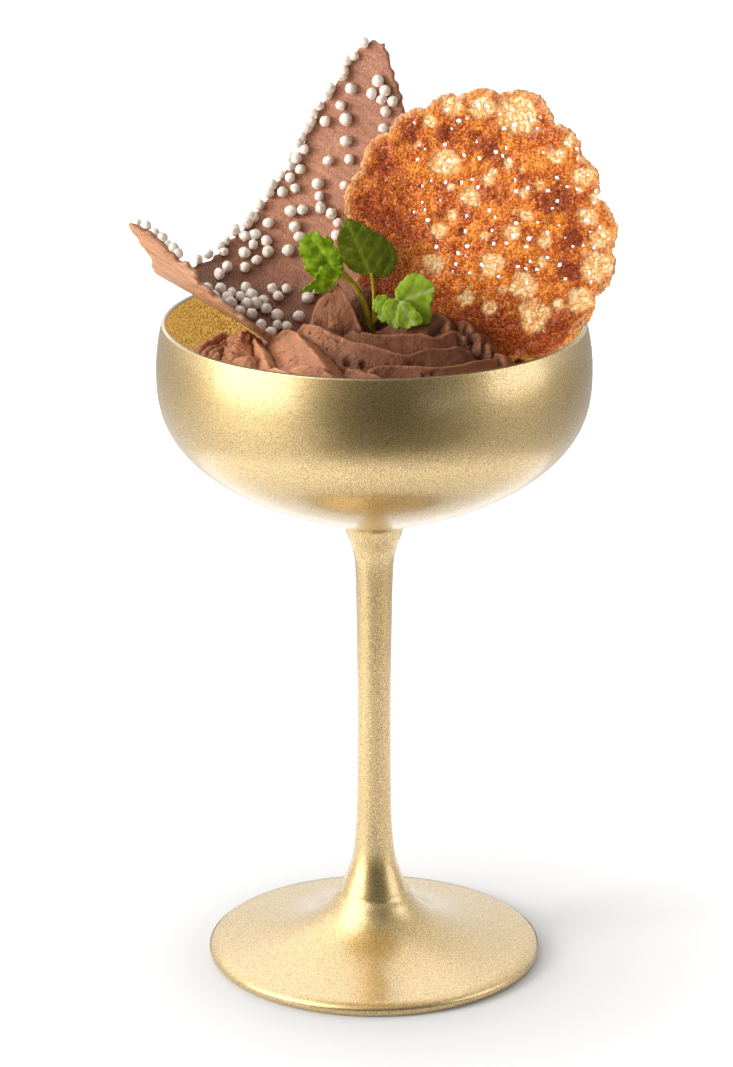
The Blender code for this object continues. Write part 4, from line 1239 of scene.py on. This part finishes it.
def make_tuile():
    random = np.random.default_rng(3)
    count = int(2 * TUILE_SIZE / TUILE_STEP)
    bm = bmesh.new()
    bmesh.ops.create_grid(bm, x_segments=count, y_segments=count, size=TUILE_SIZE)
    across, up, _ = places(bm)
    angle = np.degrees(np.arctan2(up, across))
    reach = tuile_reach(angle)
    for number, size in enumerate(RIM_CRINKLES):
        reach = reach + lumps(angle, angle * 0, size, 70 - number)
    outside, inside = 0.7 * TUILE_STEP, 0.3 * TUILE_STEP
    distance = np.hypot(across, up)
    gone = distance >= reach + outside
    snapped = np.where(distance > reach - inside, reach / distance, 1.0)
    across, up = across * snapped, up * snapped
    for middle, height, radius in tuile_holes(random):
        away = np.hypot(across - middle, up - height)
        open_to = radius - TUILE_STEP * 0.5
        gone |= away < open_to
        near = (away >= open_to) & (away < radius + inside)
        pull = np.where(near, radius / np.maximum(away, 0.01), 1.0)
        across, up = middle + (across - middle) * pull, height + (up - height) * pull
    window, marks = tuile_marks(across, up, reach, tuile_windows(random))
    mark_verts(bm, marks)
    wave = np.sin(across / TUILE_WAVE_ACROSS + 0.6) * np.cos(up / TUILE_WAVE_UP)
    relief = sum(lumps(across, up, size, 77 + n) for n, size in enumerate(TUILE_RELIEF))
    bulge = -window * (BLISTER_DEPTH[0] + BLISTER_DEPTH[1] * relief)
    move_to(bm, across, up, TUILE_WAVE * wave + relief + bulge)
    bmesh.ops.delete(bm, geom=[vert for vert, out in zip(bm.verts, gone) if out], context="VERTS")
    bmesh.ops.transform(bm, matrix=tuile_placement(), verts=bm.verts)
    thicken(build("lace_tuile", bm, [caramel_finish()], "caramel_tuile"), TUILE_THICKNESS)


# Herb sprig


def leaf_finish(name, dark, pale, vein_tint):
    """Green, paler over its veins."""
    finish = Finish(name, Roughness=0.45, Specular_IOR_Level=0.15, Subsurface_Weight=0.3)
    finish.join((0.8, 1.6, 0.3), "Subsurface Radius")
    finish.join(MM, "Subsurface Scale")
    tint = finish.ramp(finish.speckle(1.6, detail=4.0), (0.32, dark), (0.68, pale))
    finish.join(finish.blend(finish.mark("vein"), tint, vein_tint), "Base Color")
    finish.bumps((finish.speckle(0.5), 0.15))
    return finish.material


def toothed(outline, depth):
    """A smooth outline with teeth along it."""
    smooth = smooth_rings([*outline, outline[0]], 6)[:-1]
    points, outward = border_points(smooth, TOOTH_STEP)
    made = []
    for number, (point, out) in enumerate(zip(points, outward)):
        tooth = (number / TOOTH_POINTS) % 1.0
        made.append(point + out * depth * (tooth**1.5 - 0.4))
    return made


def make_leaf(name, leaf, finish):
    """A blade quilted between its veins, facing the front."""
    (depth, slant, lean), foot, tip, spacing, teeth, crinkle, outline = leaf
    bm = flat_sheet(toothed(outline, teeth), LEAF_STEP)
    layer = bm.verts.layers.float.new("vein")
    foot = Vector(foot)
    rib = Vector(tip) - foot
    length = rib.length
    rib.normalize()
    for vert in bm.verts:
        away = vert.co.to_2d() - foot
        along = away.dot(rib)
        side = away.x * rib.y - away.y * rib.x
        phase = (along - abs(side) * VEIN_SLANT) / spacing
        branch = math.exp(-(((phase - round(phase)) * spacing / VEIN_WIDTHS[1]) ** 2))
        branch *= 1 - 0.6 * min(abs(side) / length * 2, 1)
        middle = math.exp(-((side / VEIN_WIDTHS[0]) ** 2)) if -0.5 < along < length else 0
        vein = max(middle, 0.6 * branch)
        vert[layer] = vein
        near = depth + slant * away.x + lean * away.y + LEAF_CUP * side * side + VEIN_HEIGHT * vein - 0.1
        for size, share in LEAF_FOLDS:
            near += crinkle * share * noise.noise(Vector((vert.co.x / size, vert.co.y / size, depth)))
        vert.co = (vert.co.x, near, vert.co.y)
    thicken(build(name, bm, [finish]), LEAF_THICKNESS)


def make_stalks(finish):
    """Round stalks along their curves, widening a little at the foot."""
    bm = bmesh.new()
    for start, bend, end, radius in STALKS:
        rings = []
        for step in range(STALK_RINGS):
            share = step / (STALK_RINGS - 1)
            point = bend_point(start, bend, end, share)
            ahead = bend_point(start, bend, end, share + 0.01) - point
            turn = ahead.to_track_quat("Z", "Y").to_matrix().to_4x4()
            made = bmesh.ops.create_circle(
                bm,
                cap_ends=step in (0, STALK_RINGS - 1),
                segments=STALK_SEGMENTS,
                radius=radius * (STALK_TAPER[0] - STALK_TAPER[1] * share),
                matrix=Matrix.Translation(point) @ turn,
            )
            rings.append({edge for vert in made["verts"] for edge in vert.link_edges})
        for lower, upper in zip(rings, rings[1:]):
            bmesh.ops.bridge_loops(bm, edges=[*lower, *upper])
    bmesh.ops.recalc_face_normals(bm, faces=bm.faces)
    build("stalks", bm, [finish], "herb_sprig")


def make_sprig():
    finishes = {name: leaf_finish(f"{name}_green", *tints) for name, tints in GREENS.items()}
    make_stalks(finishes["stalk"])
    for name, leaf in LEAVES.items():
        # the top leaf takes the darker green as painted shade
        green = "deep" if name == "top_leaf" else "bright" if name.startswith("left") else "pale"
        make_leaf(name, leaf, finishes[green])


# Floor, light and camera


def stage_card(name, bm, colour, seen=True):
    """A flat card; unless it is seen, only reflections show it."""
    finish = Finish(f"{name}_card", Roughness=0.7, Base_Color=colour_of(colour))
    reach = finish.node("VectorMath", {"operation": "LENGTH"}, Vector=finish.place).outputs["Value"]
    if name == "table":
        fade = finish.span(reach, TABLE_RING[0], TABLE_FADE)
        finish.join(finish.blend(fade, FLOOR_COLOUR, colour), "Base Color")
    if seen:
        finish.join(finish.span(reach, *FLOOR_GLOW), "Emission Strength")
        finish.join(colour_of(1.0), "Emission Color")
    card = add_mesh(name, bm, [finish.material])
    card.visible_camera = seen
    card.visible_diffuse = seen
    card.visible_shadow = seen
    return card


def rectangle(width, depth):
    bm = bmesh.new()
    bmesh.ops.create_grid(bm, x_segments=1, y_segments=1, size=0.5)
    bmesh.ops.scale(bm, vec=(width, depth, 1.0), verts=bm.verts)
    return bm


def make_stage():
    """A white floor, and cards that shade what the gold reflects."""
    stage_card("floor", rectangle(FLOOR_SIZE, FLOOR_SIZE), FLOOR_COLOUR)
    for name, ring, colour in (("foot", FOOT_RING, FLAG_COLOUR), ("table", TABLE_RING, TABLE_COLOUR)):
        bm = bmesh.new()
        for radius in ring:
            bmesh.ops.create_circle(bm, segments=RING_SEGMENTS, radius=radius)
        bmesh.ops.bridge_loops(bm, edges=bm.edges)
        stage_card(name, bm, colour, seen=False).location.z = CARD_HEIGHT
    for name, place, width, depth, tilt in FLAGS:
        card = stage_card(name, rectangle(width, depth), FLAG_COLOUR, seen=False)
        card.location = place
        card.rotation_euler = (math.radians(tilt), 0.0, 0.0)


def add_softbox(name, place, aim, size, power, lights):
    data = bpy.data.lights.new(name, "AREA")
    data.shape = "RECTANGLE"
    data.size, data.size_y = size
    data.energy = power
    light = add_object(name, data)
    light.location = place
    light.rotation_euler = (Vector(aim) - Vector(place)).to_track_quat("-Z", "Y").to_euler()
    light.visible_diffuse = lights != "shine"
    light.visible_glossy = lights != "matt"


def make_light():
    """A world that is bright behind and above, and softboxes."""
    world = bpy.data.worlds.new("studio")
    world.use_nodes = True
    bpy.context.scene.world = world
    room = Nodes(world.node_tree)
    towards = room.node("VectorMath", {"operation": "DOT_PRODUCT"}, Vector=WORLD_WAY)
    room.fill(towards.inputs[1], room.node("TexCoord").outputs["Generated"])
    level = room.ramp(room.span(towards.outputs["Value"], -1.0, 1.0), *WORLD_LEVELS)
    level.node.color_ramp.interpolation = "EASE"
    room.fill(room.tree.nodes["Background"].inputs["Color"], level)
    for softbox in SOFTBOXES:
        add_softbox(*softbox)


def make_camera():
    data = bpy.data.cameras.new("camera")
    data.sensor_width = CAMERA_SENSOR
    data.lens = CAMERA_LENS
    camera = add_object("camera", data)
    camera.location = CAMERA_PLACE
    camera.rotation_euler.x = math.radians(90 - CAMERA_DIP)
    bpy.context.scene.camera = camera


def main():
    make_coupe()
    make_mousse()
    make_sheet()
    make_pearls()
    make_tuile()
    make_sprig()
    make_stage()
    make_light()
    make_camera()
    bpy.context.scene.view_settings.view_transform = "Standard"


main()
